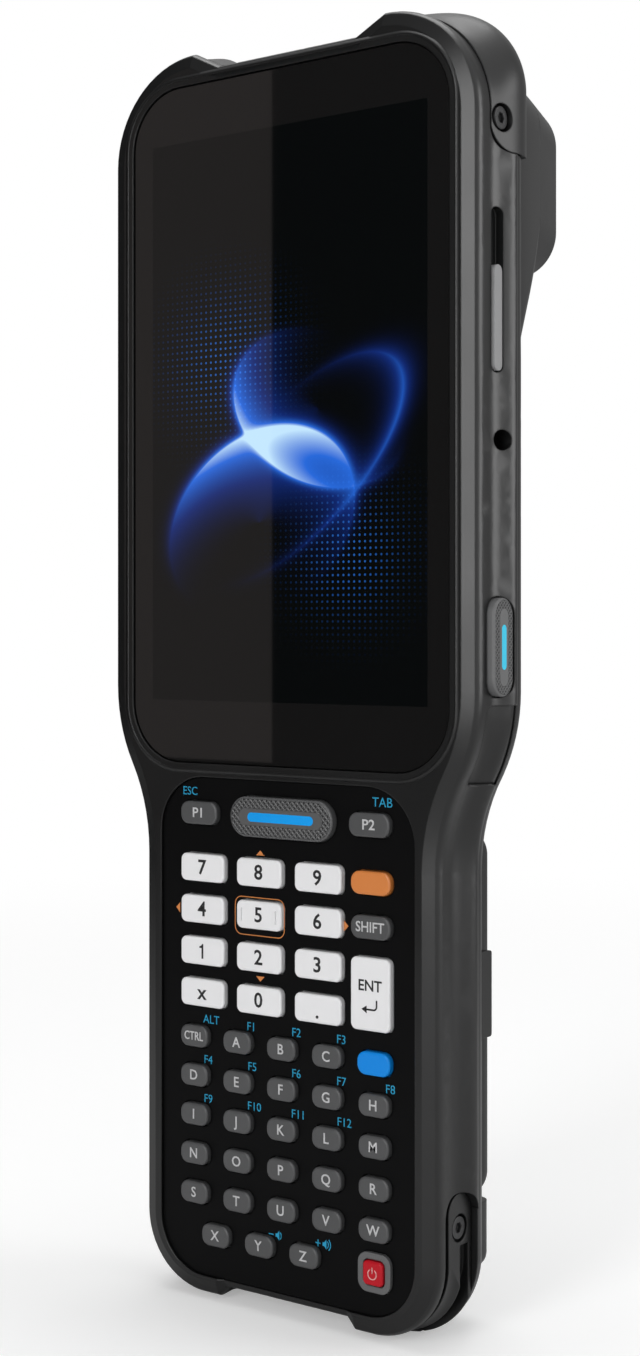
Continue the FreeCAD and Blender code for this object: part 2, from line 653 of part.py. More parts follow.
def handle_hollow(start, stop):
    return pill_block(size("panel_half") + size("mat_margin"), size("panel_low") + 1.0, size("panel_high") - 0.6,
                      size("panel_corner"), start, stop)


def thumb_recess():
    """Shallow step below a side trigger, following the waist."""
    low, high = size("shoulder_low"), size("shoulder_high")
    front, back = size("shoulder_front"), size("parting_depth") + 1
    zone = block(size("handle_half") - 10, size("display_half") + 5, front, back, low, high)
    corners = [e for e in zone.Edges if abs(e.tangentAt(e.FirstParameter).x) > 0.99 and e.BoundBox.YMax < front + 0.1]
    return zone.makeFillet(size("shoulder_round"), corners).cut(front_skin(size("shoulder_sink")))


def front_cuts():
    gap = size("window_gap")
    glass_back = size("window_depth") + size("window_thick")
    panel_back = size("panel_depth") + size("panel_thick")
    module = size("module_margin") + size("module_gap")
    ledge = size("panel_ledge")
    cuts = [
        pill_block(size("window_half") + gap, size("window_low") - gap, size("window_high") + gap,
                   size("window_corner") + gap, -1.0, glass_back),
        pill_block(size("screen_half") + module, size("screen_low") - module, size("screen_high") + module, 1.0, 0.0,
                   glass_back + size("module_thick") + size("module_gap")),
        pill_block(size("panel_half") + gap, size("panel_low") - gap, size("panel_high") + gap,
                   size("panel_corner") + gap, -1.0, panel_back),
        pill_block(size("panel_half") - ledge, size("panel_low") + ledge, size("panel_high") - ledge,
                   size("panel_corner") - ledge, 0.0, size("parting_depth")),
        display_hollow(0.0, size("face_back"), size("parting_depth") + 1),
        handle_hollow(panel_back + size("ledge_thick"), size("parting_depth") + 1),
    ]
    inner = size("display_half") - size("shell_inset")
    outside = size("display_half") + 5
    trigger_gap = 2 * size("trigger_gap")
    cuts += both_sides(side_pill(size("trigger_width") + trigger_gap, size("trigger_length") + trigger_gap,
                                 size("trigger_depth"), size("trigger_centre"), inner - 2, outside))
    cuts += both_sides(side_pill(size("trigger_lip_width") + 0.6, lip_length() + 0.6, lip_depth(),
                                 size("trigger_centre"), inner - 3, inner))
    cuts += both_sides(thumb_recess())
    cuts.append(side_pill(size("slot_width"), size("slot_length"), size("slot_depth"), size("slot_centre"),
                          size("display_half") - size("slot_sink"), outside))
    cuts.append(side_cylinder(size("port_radius"), size("screw_depth"), size("port_centre"), inner - 1, outside))
    return cuts


def rear_cuts():
    bay = size("battery_gap")
    floor = size("battery_front") - bay
    turn, beyond = size("hollow_turn"), size("battery_back") + 5
    wall_back = size("rear_depth") - size("rear_wall")
    bay_low, bay_high = size("battery_low") - bay, size("battery_high") + bay
    root = bracket_low()
    cuts = [
        display_hollow(0.0, size("parting_depth") - 1, turn),
        display_hollow(size("hollow_narrow"), turn - 1, wall_back),
        handle_hollow(size("parting_depth") - 1, floor - size("bay_floor")),
        pill_block(size("battery_half") + bay, bay_low, bay_high, size("battery_corner") + bay, floor, beyond),
        block(-60, 60, size("bay_wall"), beyond, bay_low, bay_high),
        block(-bracket_half(), bracket_half(), size("bracket_front"), size("hood_front") + 2, root,
              size("hood_high") - size("scan_sink") - size("scan_thick")),
    ]
    latch_gap = size("latch_gap")
    cuts += both_sides(block(size("battery_half") - 1, size("handle_half") + 3, size("latch_front") - latch_gap, beyond,
                             size("latch_low") - latch_gap, size("latch_high") + latch_gap))
    half_width, half_height = size("contact_width") / 2, size("contact_height") / 2
    for across in contact_places(4, "contact_pitch"):
        cuts.append(block(across - half_width, across + half_width, floor - size("contact_root"), floor + 1,
                          size("contact_centre") - half_height, size("contact_centre") + half_height))
    half_width, half_length = size("dock_width") / 2, size("dock_length") / 2
    for across in contact_places(6, "dock_pitch"):
        cuts.append(block(across - half_width, across + half_width, size("dock_depth") - half_length,
                          size("dock_depth") + half_length, -1, size("body_bottom") + size("dock_thick")))
    head_front = size("rear_depth") - size("rear_screw_sink")
    for across, up in rear_screw_places():
        back = Vector(across, size("rear_depth") + 1, up)
        forward = Vector(0, -1, 0)
        cuts.append(Part.makeCylinder(size("rear_screw_head") + size("fit_gap"),
                                      1 + size("rear_screw_sink") + size("screw_head_thick"), back, forward))
        cuts.append(Part.makeCylinder(size("rear_screw_shank"), size("rear_depth") + 1 - head_front
                                      + size("screw_head_thick") + size("rear_screw_length"), back, forward))
    half = size("grille_length") / 2
    for across in contact_places(5, "grille_pitch"):
        cuts.append(pill_block(size("grille_width") / 2, size("speaker_centre") - half, size("speaker_centre") + half,
                               size("grille_width") / 2 - 0.01, wall_back - 1, size("rear_depth") + 1, across))
    return cuts


def strap_groove():
    """Groove for a wrist strap, running round a bottom corner."""
    half = size("strap_width") / 2
    zone = block(size("strap_across"), size("handle_half") + 5, size("strap_depth") - half,
                 size("strap_depth") + half, -5, size("strap_high"))
    return zone.cut(prism(size("strap_sink"), -1.0, 40.0))


def make_shells():
    below = block(-60, 60, -10, 60, -20, 0)
    front = front_skin().cut(below)
    rear = rear_skin().fuse([foot_skin(), hump_skin()]).removeSplitter().cut(below)
    envelope = front.fuse(rear)
    zones = [cap_zone(end, side, size("cap_gap")) for end, side in CAP_ENDS]
    holes = []
    for end in ("top", "bottom"):
        holes += screw_holes(end, size("screw_shank"), size("screw_length") + 0.5, 2)
    sculpted("front_housing", front.cut(front_cuts() + zones + holes))
    sculpted("rear_housing", rear.cut(rear_cuts() + zones + holes))
    flat = size("handle_half") - size("low_cap_sink")
    for end, side in CAP_ENDS:
        skin = cap_skin() if end == "top" else envelope.common(block(-flat, flat, -1, 60, -1, 60))
        cuts = screw_holes(end, size("screw_ring"), size("screw_head_thick"), 5)
        cuts += screw_holes(end, size("screw_shank") + 0.02, size("screw_length"), 5)
        if end == "bottom":
            cuts += both_sides(strap_groove())
        sculpted(f"corner_cap_{end}_{side}", skin.common(cap_zone(end, side, 0.0)).cut(cuts))


def add_screw(body, plane, across, up, face, forward, sizes):
    """Head, shank and hexagonal socket on one axis; sizes names head, shank and length."""
    head_size, shank_size, length = sizes
    for part, radius, long in (("head", head_size, "screw_head_thick"), ("shank", shank_size, length)):
        circle = sketch_on(body, f"{body.Label}_{part}", plane, across, up, face)
        ring_circle(circle, cell(radius))
        add_feature(body, "Pad", f"{body.Label}_{part}_pad", circle, cell(long), forward)
    socket = sketch_on(body, body.Label + "_socket", plane, across, up, face)
    turns = [math.radians(60 * n) for n in range(7)]
    corners = [Vector(math.cos(turn), math.sin(turn), 0) * size("screw_socket") for turn in turns]
    for first, last in zip(corners, corners[1:]):
        socket.addGeometry(Part.LineSegment(first, last))
    add_feature(body, "Pocket", body.Label + "_socket_cut", socket, cell("socket_deep"), not forward)


def joined(label, pieces):
    """One node made of several separate solids of the same kind."""
    group = doc.addObject("Part::Compound", label)
    group.Label = label
    group.Links = pieces
    nodes.append(group)


def make_screws():
    """Four alike cap screws, and four rear screws."""
    screws = []
    for end, side in CAP_ENDS:
        sign = "" if side == "right" else "-"
        half, sink = ("display_half", "screw_sink") if end == "top" else ("handle_half", "low_screw_sink")
        height = "top_screw" if end == "top" else "low_screw"
        body = new_body(f"cap_screw_{end}_{side}", listed=False)
        add_screw(body, "YZ_Plane", cell("screw_depth"), cell(height), f"{sign}({cell(half)} - {cell(sink)})",
                  side == "right", ("screw_head", "screw_shank", "screw_length"))
        screws.append(body)
    joined("cap_screws", screws)
    screws = []
    for pair in ("neck", "waist"):
        for sign in ("", "-"):
            body = new_body(f"rear_screw_{pair}_{'left' if sign else 'right'}", listed=False)
            add_screw(body, "XZ_Plane", sign + cell(pair + "_screw_across"), cell(pair + "_screw_up"),
                      f"-({cell('rear_depth')} - {cell('rear_screw_sink')})", False,
                      ("rear_screw_head", "rear_screw_shank", "rear_screw_length"))
            screws.append(body)
    joined("rear_screws", screws)


# Display, boards and covers

def make_inside():
    height, middle = span("window_low", "window_high")
    glass = new_body("display_window")
    plate(glass, "glass", ("0", middle), (f"2 * {cell('window_half')}", height), cell("window_corner"),
          cell("window_depth"), cell("window_thick"))
    module = new_body("display_module")
    height, middle = span("screen_low", "screen_high")
    margin = f"2 * {cell('module_margin')}"
    plate(module, "module", ("0", middle), (f"2 * {cell('screen_half')} + {margin}", f"{height} + {margin}"), "0.8",
          f"{cell('window_depth')} + {cell('window_thick')}", cell("module_thick"))
    board = new_body("main_board")
    height, middle = span("board_low", "board_high")
    plate(board, "board", ("0", middle), (f"2 * {cell('board_half')}", height), "2", cell("board_depth"),
          cell("board_thick"))
    board_back = f"{cell('board_depth')} + {cell('board_thick')}"
    for chip, across, wide, tall, thick in (("processor", "6", "18", "18", "1.5"), ("memory", "-14", "12", "14", "1.2")):
        plate(board, chip, (across, f"{middle} + 8"), (wide, tall), "0.5", board_back, thick)
    mat = new_body("keypad_mat")
    height, middle = span("panel_low", "panel_high")
    mat_front = f"{cell('panel_depth')} + {cell('panel_thick')} + {cell('ledge_thick')}"
    mat_width = f"2 * ({cell('panel_half')} - {cell('mat_margin')})"
    mat_size = (mat_width, f"{height} - 3")
    plate(mat, "mat", ("0", middle), mat_size, f"{cell('panel_corner')} - 1", mat_front, cell("mat_thick"))
    keyboard = new_body("keypad_board")
    plate(keyboard, "keyboard", ("0", middle), mat_size, f"{cell('panel_corner')} - 1",
          f"{mat_front} + {cell('mat_thick')}", cell("board_thick"))
    speaker = new_body("speaker")
    plate(speaker, "case", ("0", cell("speaker_centre")), (f"2 * {cell('speaker_half')}", cell("speaker_height")), "2",
          f"{cell('rear_depth')} - {cell('rear_wall')} - {cell('speaker_thick')}", cell("speaker_thick"))
    switches = []
    width = f"{cell('switch_reach')} - {cell('board_half')}"
    middle = f"({cell('switch_reach')} + {cell('board_half')}) / 2"
    for side, sign in (("right", ""), ("left", "-")):
        switch = new_body(f"trigger_switch_{side}", listed=False)
        plate(switch, "case", (f"{sign}({middle})", cell("trigger_centre")), (width, cell("switch_length")), "0.3",
              cell("switch_front"), f"{cell('board_depth')} + {cell('board_thick')} - {cell('switch_front')}")
        switches.append(switch)
    joined("trigger_switches", switches)


KEYS = []


def add_key(label, across, up, width, height, corner, proud="key_proud"):
    KEYS.append((label, across, up, width, height, corner, proud))


def list_keys():
    for index, name in enumerate(["7", "8", "9", "4", "5", "6", "1", "2", "3", "x", "0", "point"]):
        across = f"{cell('number_left')} + {index % 3} * {cell('number_pitch_across')}"
        up = f"{cell('number_top')} - {index // 3} * {cell('number_pitch_down')}"
        add_key(f"key_{name}", across, up, "number_width", "number_height", "number_corner")
    side = cell("side_column")
    add_key("key_orange", side, cell("number_top"), "side_key_width", "side_key_height", "side_key_corner")
    add_key("key_shift", side, f"{cell('number_top')} - {cell('number_pitch_down')}", "side_key_width",
            "side_key_height", "side_key_corner")
    add_key("key_enter", side, cell("enter_centre"), "side_key_width", "enter_height", "number_corner")
    add_key("key_blue", f"{cell('letter_left')} + 4 * {cell('letter_pitch_across')}", cell("letter_top"), "blue_width",
            "side_key_height", "side_key_corner")
    add_key("key_p1", f"-{cell('program_across')}", cell("program_row"), "program_width", "program_height",
            "side_key_corner")
    add_key("key_p2", cell("program_across"), cell("program_row"), "program_width", "program_height", "side_key_corner")
    add_key("power_key", f"{cell('letter_left')} + 4 * {cell('letter_pitch_across')}", cell("power_centre"),
            "power_width", "power_width", "power_corner", "scan_key_proud")


def key_body(label, across, up, width, height, corner, proud="key_proud", listed=True):
    """One key: a rounded cap through the panel and a wider lip behind it."""
    body = new_body(label, listed)
    front = f"{cell('panel_depth')} - {cell(proud)}"
    lip_front = f"{cell('panel_depth')} + {cell('panel_thick')}"
    cap = plate(body, "keycap", (across, up), (cell(width), cell(height)), cell(corner), front,
                f"{cell(proud)} + {cell('panel_thick')}")
    round_edges(body, cap, "y", size("panel_depth") - size(proud), cell("key_edge"))
    lip = f"2 * ({cell('key_gap')} + {cell('key_lip')})"
    plate(body, "lip", (across, up), (f"{cell(width)} + {lip}", f"{cell(height)} + {lip}"),
          f"{cell(corner)} + {cell('key_lip')}", lip_front, cell("key_lip_thick"))
    return body


LETTER_ROWS = [(0, 4, 0.0), (0, 5, 0.0), (0, 5, 0.0), (0, 5, 0.0), (0, 5, 0.0), (0, 3, 0.5)]


def letter_place(row, column, shift):
    across = f"{cell('letter_left')} + {column + shift} * {cell('letter_pitch_across')}"
    return across, f"{cell('letter_top')} - {row} * {cell('letter_pitch_down')}"


def make_keys():
    list_keys()
    for label, across, up, width, height, corner, proud in KEYS:
        key_body(label, across, up, width, height, corner, proud)
    for row, (first, count, shift) in enumerate(LETTER_ROWS):
        keys = []
        for column in range(first, first + count):
            across, up = letter_place(row, column, shift)
            keys.append(key_body(f"letter_{row}_{column}", across, up, "letter_width", "letter_height",
                                 "letter_corner", listed=False))
        joined(f"letter_keys_row_{row + 1}", keys)
    scan = key_body("scan_key", "0", cell("program_row"), "scan_key_width", "scan_key_height", "scan_key_round",
                    "scan_key_proud")
    bar_front = f"{cell('panel_depth')} - {cell('scan_key_proud')}"
    plate(scan, "bar_seat", ("0", cell("program_row")), (cell("scan_bar_width"), cell("scan_bar_height")),
          f"{cell('scan_bar_height')} / 2 - 0.01", bar_front, cell("bar_thick"), kind="Pocket")
    bar = new_body("scan_key_light_bar")
    plate(bar, "bar", ("0", cell("program_row")), (cell("scan_bar_width"), cell("scan_bar_height")),
          f"{cell('scan_bar_height')} / 2 - 0.01", bar_front, cell("bar_thick"))
    ring = new_body("power_key_ring")
    place = (f"{cell('letter_left')} + 4 * {cell('letter_pitch_across')}", cell("power_centre"))
    ring_front = f"{cell('panel_depth')} - {cell('ring_proud')}"
    plate(ring, "ring", place, (cell("ring_width"), cell("ring_width")), cell("ring_corner"), ring_front,
          f"{cell('ring_proud')} + {cell('panel_thick')}")
    gap = f"2 * {cell('key_gap')}"
    plate(ring, "opening", place, (f"{cell('power_width')} + {gap}", f"{cell('power_width')} + {gap}"),
          f"{cell('power_corner')} + {cell('key_gap')}", ring_front, "10", kind="Pocket")


def key_holes():
    """Openings of the panel, one per key, from the keys' own sketches and gap."""
    holes = []
    start = size("panel_depth") - 1
    stop = size("panel_depth") + size("panel_thick") + 1
    for body in doc.Objects:
        if body.TypeId != "PartDesign::Body" or body.Label == "power_key":
            continue
        caps = [f for f in body.Group if f.Label.startswith("keycap") and f.TypeId == "PartDesign::Pad"]
        if not caps:
            continue
        box = caps[0].Shape.BoundBox
        gap = size("key_gap")
        holes.append(pill_block(box.XLength / 2 + gap, box.ZMin - gap, box.ZMax + gap, key_corner(body) + gap, start,
                                stop, box.Center.x))
    half = size("ring_width") / 2 + 0.02
    across = size("letter_left") + 4 * size("letter_pitch_across")
    holes.append(pill_block(half, size("power_centre") - half, size("power_centre") + half, size("ring_corner"), start,
                            stop, across))
    return holes


def key_corner(body):
    sketch = next(f for f in body.Group if f.TypeId == "Sketcher::SketchObject")
    return sketch.Geometry[0].Radius


def make_panel():
    blank = pill_block(size("panel_half"), size("panel_low"), size("panel_high"), size("panel_corner"),
                       size("panel_depth"), size("panel_depth") + size("panel_thick"))
    sculpted("keypad_panel", blank.cut(key_holes()))


# Side controls

def make_triggers():
    face = size("display_half") + size("trigger_proud")
    back = size("display_half") - size("shell_inset") - 0.1
    depth, up = size("trigger_depth"), size("trigger_centre")
    pill = side_pill(size("trigger_width"), size("trigger_length"), depth, up, back, face)
    pill = pill.makeFillet(size("trigger_edge"), [e for e in pill.Edges if e.BoundBox.XMin > face - 1e-4])
    lip = side_pill(size("trigger_lip_width"), lip_length(), lip_depth(), up, back - size("trigger_lip_thick"), back)
    bar_start = face - size("bar_thick")
    seat = side_pill(size("trigger_bar_width"), size("trigger_bar_length"), depth, up, bar_start, face + 1)
    bar = side_pill(size("trigger_bar_width"), size("trigger_bar_length"), depth, up, bar_start, face)
    for side, trigger, light in zip(("right", "left"), both_sides(pill.fuse(lip).cut(seat)), both_sides(bar)):
        sculpted(f"side_trigger_{side}", trigger)
        sculpted(f"side_trigger_light_bar_{side}", light)


def make_slider():
    slider = new_body("slide_switch")
    up = f"{cell('slot_centre')} - {cell('slot_length')} / 2 + {cell('slider_end')} + {cell('slider_length')} / 2"
    start = f"{cell('display_half')} - {cell('slot_sink')} + {cell('slider_gap')}"
    thick = f"{cell('slot_sink')} - {cell('slider_gap')} - {cell('slider_sink')}"
    side_plate(slider, "slider", cell("slot_depth"), up, cell("slider_width"), cell("slider_length"),
               f"{cell('slider_width')} / 2 - 0.01", start, thick)


# Battery, latches and contacts

def make_battery():
    battery = new_body("battery_pack")
    height, middle = span("battery_low", "battery_high")
    case = plate(battery, "case", ("0", middle), (f"2 * {cell('battery_half')}", height), cell("battery_corner"),
                 cell("battery_front"), f"{cell('battery_back')} - {cell('battery_front')}")
    round_edges(battery, case, "y", size("battery_back"), cell("battery_round"))
    latch_height, latch_middle = span("latch_low", "latch_high")
    latch_width = f"{cell('latch_back')} - {cell('latch_front')}"
    latch_centre = f"({cell('latch_back')} + {cell('latch_front')}) / 2"
    gap = f"2 * {cell('latch_gap')}"
    pocket_depth = f"{cell('latch_root')} + {cell('latch_travel')} + {cell('latch_gap')}"
    for side in ("right", "left"):
        sign = "" if side == "right" else "-"
        seat = sketch_on(battery, f"latch_seat_{side}", "YZ_Plane", latch_centre, latch_middle,
                         f"{sign}{cell('battery_half')}")
        rounded_rect(seat, f"{latch_width} + {gap}", f"{latch_height} + {gap}", "0.6")
        add_feature(battery, "Pocket", f"latch_pocket_{side}", seat, pocket_depth, side == "left")
        latch = new_body(f"battery_latch_{side}")
        tab = sketch_on(latch, "tab_outline", "YZ_Plane", latch_centre, latch_middle,
                        f"{sign}({cell('battery_half')} - {cell('latch_root')})")
        rounded_rect(tab, latch_width, latch_height, "0.5")
        add_feature(latch, "Pad", "tab", tab, f"{cell('latch_root')} + {cell('latch_reach')}", side == "left")
    contacts = []
    for index in range(4):
        body = new_body(f"battery_contact_{index + 1}", listed=False)
        across = f"({index} - 1.5) * {cell('contact_pitch')}"
        plate(body, "blade", (across, cell("contact_centre")), (cell("contact_width"), cell("contact_height")), "0.3",
              f"{cell('battery_front')} - {cell('battery_gap')} - {cell('contact_root')}",
              f"{cell('battery_gap')} + {cell('contact_root')}")
        contacts.append(body)
    joined("battery_contacts", contacts)


def make_dock_contacts():
    contacts = []
    for index in range(6):
        body = new_body(f"dock_contact_{index + 1}", listed=False)
        across = f"({index} - 2.5) * {cell('dock_pitch')}"
        sketch = sketch_on(body, "pad_outline", "XY_Plane", across, cell("dock_depth"), cell("body_bottom"))
        rounded_rect(sketch, cell("dock_width"), cell("dock_length"), "0.4")
        add_feature(body, "Pad", "pad", sketch, cell("dock_thick"), False)
        contacts.append(body)
    joined("dock_contacts", contacts)


# Scan head

def make_scan_head():
    front, back = size("hood_front"), size("hood_back")
    taper, slope, wall = size("hood_taper"), size("hood_slope"), size("hood_wall")
    hood = Part.makeLoft([
        rounded_wire(size("hood_half"), size("hood_low"), size("hood_high"), size("hood_corner"), front),
        rounded_wire(size("hood_half") - taper, size("hood_low") + slope, size("hood_high") - slope,
                     size("hood_corner") - slope, back),
    ], True, True)
    hood = hood.makeFillet(size("hood_round"), level_edges(hood, back))
    window_face = size("hood_high") - size("scan_sink")
    window_back = window_face - size("scan_thick")
    gap, ledge = size("scan_gap"), size("scan_ledge")
    hollow = pill_block(size("hood_half") - taper - wall, size("hood_low") + slope + wall, window_back - wall / 2,
                        size("hood_corner") - wall, front - 1, back - 2 * wall)
    half, near, far = size("scan_half"), size("scan_front"), size("scan_back")
    seat = block(-half - gap, half + gap, near - gap, far + gap, window_back, size("hood_high") + 2)
    opening = block(-half + ledge, half - ledge, near + ledge, far - ledge, window_back - wall, window_back + 1)
    sculpted("scan_hood", hood.cut([hollow, seat, opening]))
    window = new_body("scan_window")
    window_centre = f"({cell('scan_front')} + {cell('scan_back')}) / 2"
    window_level = f"{cell('hood_high')} - {cell('scan_sink')} - {cell('scan_thick')}"
    sketch = sketch_on(window, "pane_outline", "XY_Plane", "0", window_centre, window_level)
    rounded_rect(sketch, f"2 * {cell('scan_half')}", f"{cell('scan_back')} - {cell('scan_front')}", "0.8")
    add_feature(window, "Pad", "pane", sketch, cell("scan_thick"), False)
    engine_level = f"{window_level} - {cell('engine_clear')} - {cell('engine_height')}"
    engine = new_body("scan_engine")
    sketch = sketch_on(engine, "engine_outline", "XY_Plane", "0",
                       f"({cell('engine_front')} + {cell('engine_back')}) / 2", engine_level)
    rounded_rect(sketch, f"2 * {cell('engine_half')}", f"{cell('engine_back')} - {cell('engine_front')}", "0.8")
    add_feature(engine, "Pad", "block", sketch, cell("engine_height"), False)
    bracket = new_body("scan_engine_bracket")
    sketch = sketch_on(bracket, "bracket_outline", "XY_Plane", "0",
                       f"({cell('bracket_front')} + {cell('engine_back')}) / 2",
                       f"{engine_level} - {cell('bracket_thick')}")
    rounded_rect(sketch, f"2 * ({cell('engine_half')} + {cell('bracket_side')})",
                 f"{cell('engine_back')} - {cell('bracket_front')}", "0.8")
    add_feature(bracket, "Pad", "plate", sketch, cell("bracket_thick"), False)


def make_gasket():
    """Seal in the seam: a thin frame just inside the front shell's wall."""
    inset = size("shell_inset") + 4 * size("fit_gap")
    half = size("display_half") - inset
    low, high = size("display_hollow_low") + 2, size("display_hollow_high") - size("fit_gap")
    corner = size("top_corner") - size("shell_inset") - 3
    start, stop = size("parting_depth") - 1.0, size("parting_depth")
    outer = pill_block(half, low, high, corner, start, stop)
    inner = pill_block(half - size("gasket_width"), low + size("gasket_width"), high - size("gasket_width"),
                       corner - size("gasket_width"), start - 1, stop + 1)
    sculpted("housing_gasket", outer.cut(inner))


def check_document():
    doc.recompute()
    for item in doc.Objects:
        if "Invalid" in item.State or "Error" in item.State:
            raise RuntimeError(f"{item.Label} failed: {item.State}")
    for node in nodes:
        shape = node.Shape
        if shape.isNull() or not shape.isValid() or not shape.Solids:
            raise RuntimeError(f"{node.Label} has no sound solid")


def write_steps():
    os.makedirs("parts", exist_ok=True)
    for node in nodes:
        node.Shape.exportStep(f"parts/{node.Label}.step")
        box = node.Shape.optimalBoundingBox()
        print(f"{node.Label}: {len(node.Shape.Solids)} solid(s), {node.Shape.Volume:.1f} mm3, "
              f"x {box.XMin:.1f}..{box.XMax:.1f} y {box.YMin:.1f}..{box.YMax:.1f} z {box.ZMin:.1f}..{box.ZMax:.1f}")


make_shells()
make_screws()
make_inside()
make_keys()
doc.recompute()
make_panel()
make_triggers()
make_slider()
make_battery()
make_dock_contacts()
make_scan_head()
make_gasket()
check_document()
write_steps()
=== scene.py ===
import json
import math

import bmesh
import bpy
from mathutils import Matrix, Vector


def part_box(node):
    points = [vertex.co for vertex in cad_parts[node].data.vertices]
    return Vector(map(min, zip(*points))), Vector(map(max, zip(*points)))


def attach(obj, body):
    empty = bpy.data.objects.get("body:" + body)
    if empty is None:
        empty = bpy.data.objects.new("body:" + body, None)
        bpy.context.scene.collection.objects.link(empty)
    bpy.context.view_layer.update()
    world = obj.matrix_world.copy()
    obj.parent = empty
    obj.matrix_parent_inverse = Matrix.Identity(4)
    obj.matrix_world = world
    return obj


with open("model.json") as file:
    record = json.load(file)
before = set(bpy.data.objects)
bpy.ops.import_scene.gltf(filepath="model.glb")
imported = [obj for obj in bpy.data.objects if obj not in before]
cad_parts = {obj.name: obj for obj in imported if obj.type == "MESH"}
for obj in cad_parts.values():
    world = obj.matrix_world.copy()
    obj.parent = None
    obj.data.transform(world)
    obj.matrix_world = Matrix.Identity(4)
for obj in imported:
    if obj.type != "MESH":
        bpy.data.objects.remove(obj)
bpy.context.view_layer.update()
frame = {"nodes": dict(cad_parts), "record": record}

mm = 0.001
nodes = frame["nodes"]
print("frame loaded:", len(nodes), "nodes")


# where things are, read from the frame
def bodyOf(node):
    for body, members in frame["record"]["behaviour"]["bodies"].items():
        if node in members:
            return body
    return "case"


def centreOf(node):
    low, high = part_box(node)
    return (low + high) / 2


def frontOf(node):
    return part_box(node)[0].y


# short ways to build node trees: an input takes a value, or another node's output
def setInputs(tree, node, inputs):
    for name, value in inputs.items():
        socket = node.inputs[name]
        if isinstance(value, bpy.types.NodeSocket):
            tree.links.new(value, socket)
        elif socket.type == "RGBA":
            socket.default_value = (*value, 1.0)
        else:
            socket.default_value = value


def addNode(tree, kind, inputs=None, **settings):
    node = tree.nodes.new(kind)
    for name, value in settings.items():
        setattr(node, name, value)
    setInputs(tree, node, inputs or {})
    return node


def calc(tree, operation, *values, clamp=False):
    node = addNode(tree, "ShaderNodeMath", dict(enumerate(values)), operation=operation, use_clamp=clamp)
    return node.outputs[0]


def sumOfSquares(tree, first, second):
    return calc(tree, "MULTIPLY_ADD", first, first, calc(tree, "MULTIPLY", second, second))


def vectorMath(tree, operation, *values):
    return addNode(tree, "ShaderNodeVectorMath", dict(enumerate(values)), operation=operation).outputs


def mixColour(tree, factor, first, second, blend="MIX"):
    inputs = {0: factor, 6: first, 7: second}
    return addNode(tree, "ShaderNodeMix", inputs, data_type="RGBA", blend_type=blend).outputs[2]


def fade(tree, value, start, end):
    edges = {"Value": value, "From Min": start, "From Max": end}
    return addNode(tree, "ShaderNodeMapRange", edges, interpolation_type="SMOOTHSTEP").outputs["Result"]


def objectPlace(tree):
    return addNode(tree, "ShaderNodeTexCoord").outputs["Object"]


def newGroup(name, inputs, outputs):
    group = bpy.data.node_groups.new(name, "ShaderNodeTree")
    for title, value in inputs.items():
        socket = group.interface.new_socket(name=title, in_out="INPUT", socket_type="NodeSocketFloat")
        socket.default_value = value
    for title, kind in outputs.items():
        group.interface.new_socket(name=title, in_out="OUTPUT", socket_type=kind)
    return group, group.nodes.new("NodeGroupInput").outputs, group.nodes.new("NodeGroupOutput")


def placeGroup(tree, group, **values):
    return addNode(tree, "ShaderNodeGroup", values, node_tree=group)


# shared effects: moulded grain, worn edges and a knurled band
grainDepth = 0.04 * mm


def buildGrainGroup():
    group, given, results = newGroup(
        "mouldedGrain", {"Scale": 9000.0, "Strength": 0.12, "Cloud": 60.0},
        {"Normal": "NodeSocketVector", "Fine": "NodeSocketFloat", "Broad": "NodeSocketFloat"})
    place = objectPlace(group)
    fine = addNode(group, "ShaderNodeTexNoise", {"Vector": place, "Scale": given["Scale"], "Detail": 2.0})
    broad = addNode(group, "ShaderNodeTexNoise", {"Vector": place, "Scale": given["Cloud"], "Detail": 4.0})
    bump = addNode(group, "ShaderNodeBump", {
        "Height": fine.outputs["Fac"], "Strength": given["Strength"], "Distance": grainDepth})
    setInputs(group, results, {
        "Normal": bump.outputs["Normal"], "Fine": fine.outputs["Fac"], "Broad": broad.outputs["Fac"]})
    return group


# the mask is strongest where the surface turns, and broken up by noise
def buildEdgeGroup():
    group, given, results = newGroup(
        "wornEdges", {"Radius": 0.4 * mm, "Amount": 0.5},
        {"Mask": "NodeSocketFloat", "Normal": "NodeSocketVector"})
    bevel = addNode(group, "ShaderNodeBevel", {"Radius": given["Radius"]}, samples=4)
    surface = addNode(group, "ShaderNodeNewGeometry").outputs["Normal"]
    alike = vectorMath(group, "DOT_PRODUCT", bevel.outputs["Normal"], surface)["Value"]
    turned = calc(group, "SUBTRACT", 1.0, alike)
    noise = addNode(group, "ShaderNodeTexNoise", {"Vector": objectPlace(group), "Scale": 700.0})
    broken = calc(group, "MULTIPLY", turned, noise.outputs["Fac"])
    mask = calc(group, "MULTIPLY", broken, given["Amount"], clamp=True)
    setInputs(group, results, {"Mask": mask, "Normal": bevel.outputs["Normal"]})
    return group


# crossed ridges on a pill-shaped band round a straight middle, with painted shade in the pits between them
knurlLook = {"depth": 0.16 * mm, "softEdge": 0.12 * mm, "pitBottom": 0.50, "pitTop": 0.85, "pitShade": 0.92,
             "pitShadeColour": (0.008, 0.008, 0.009)}


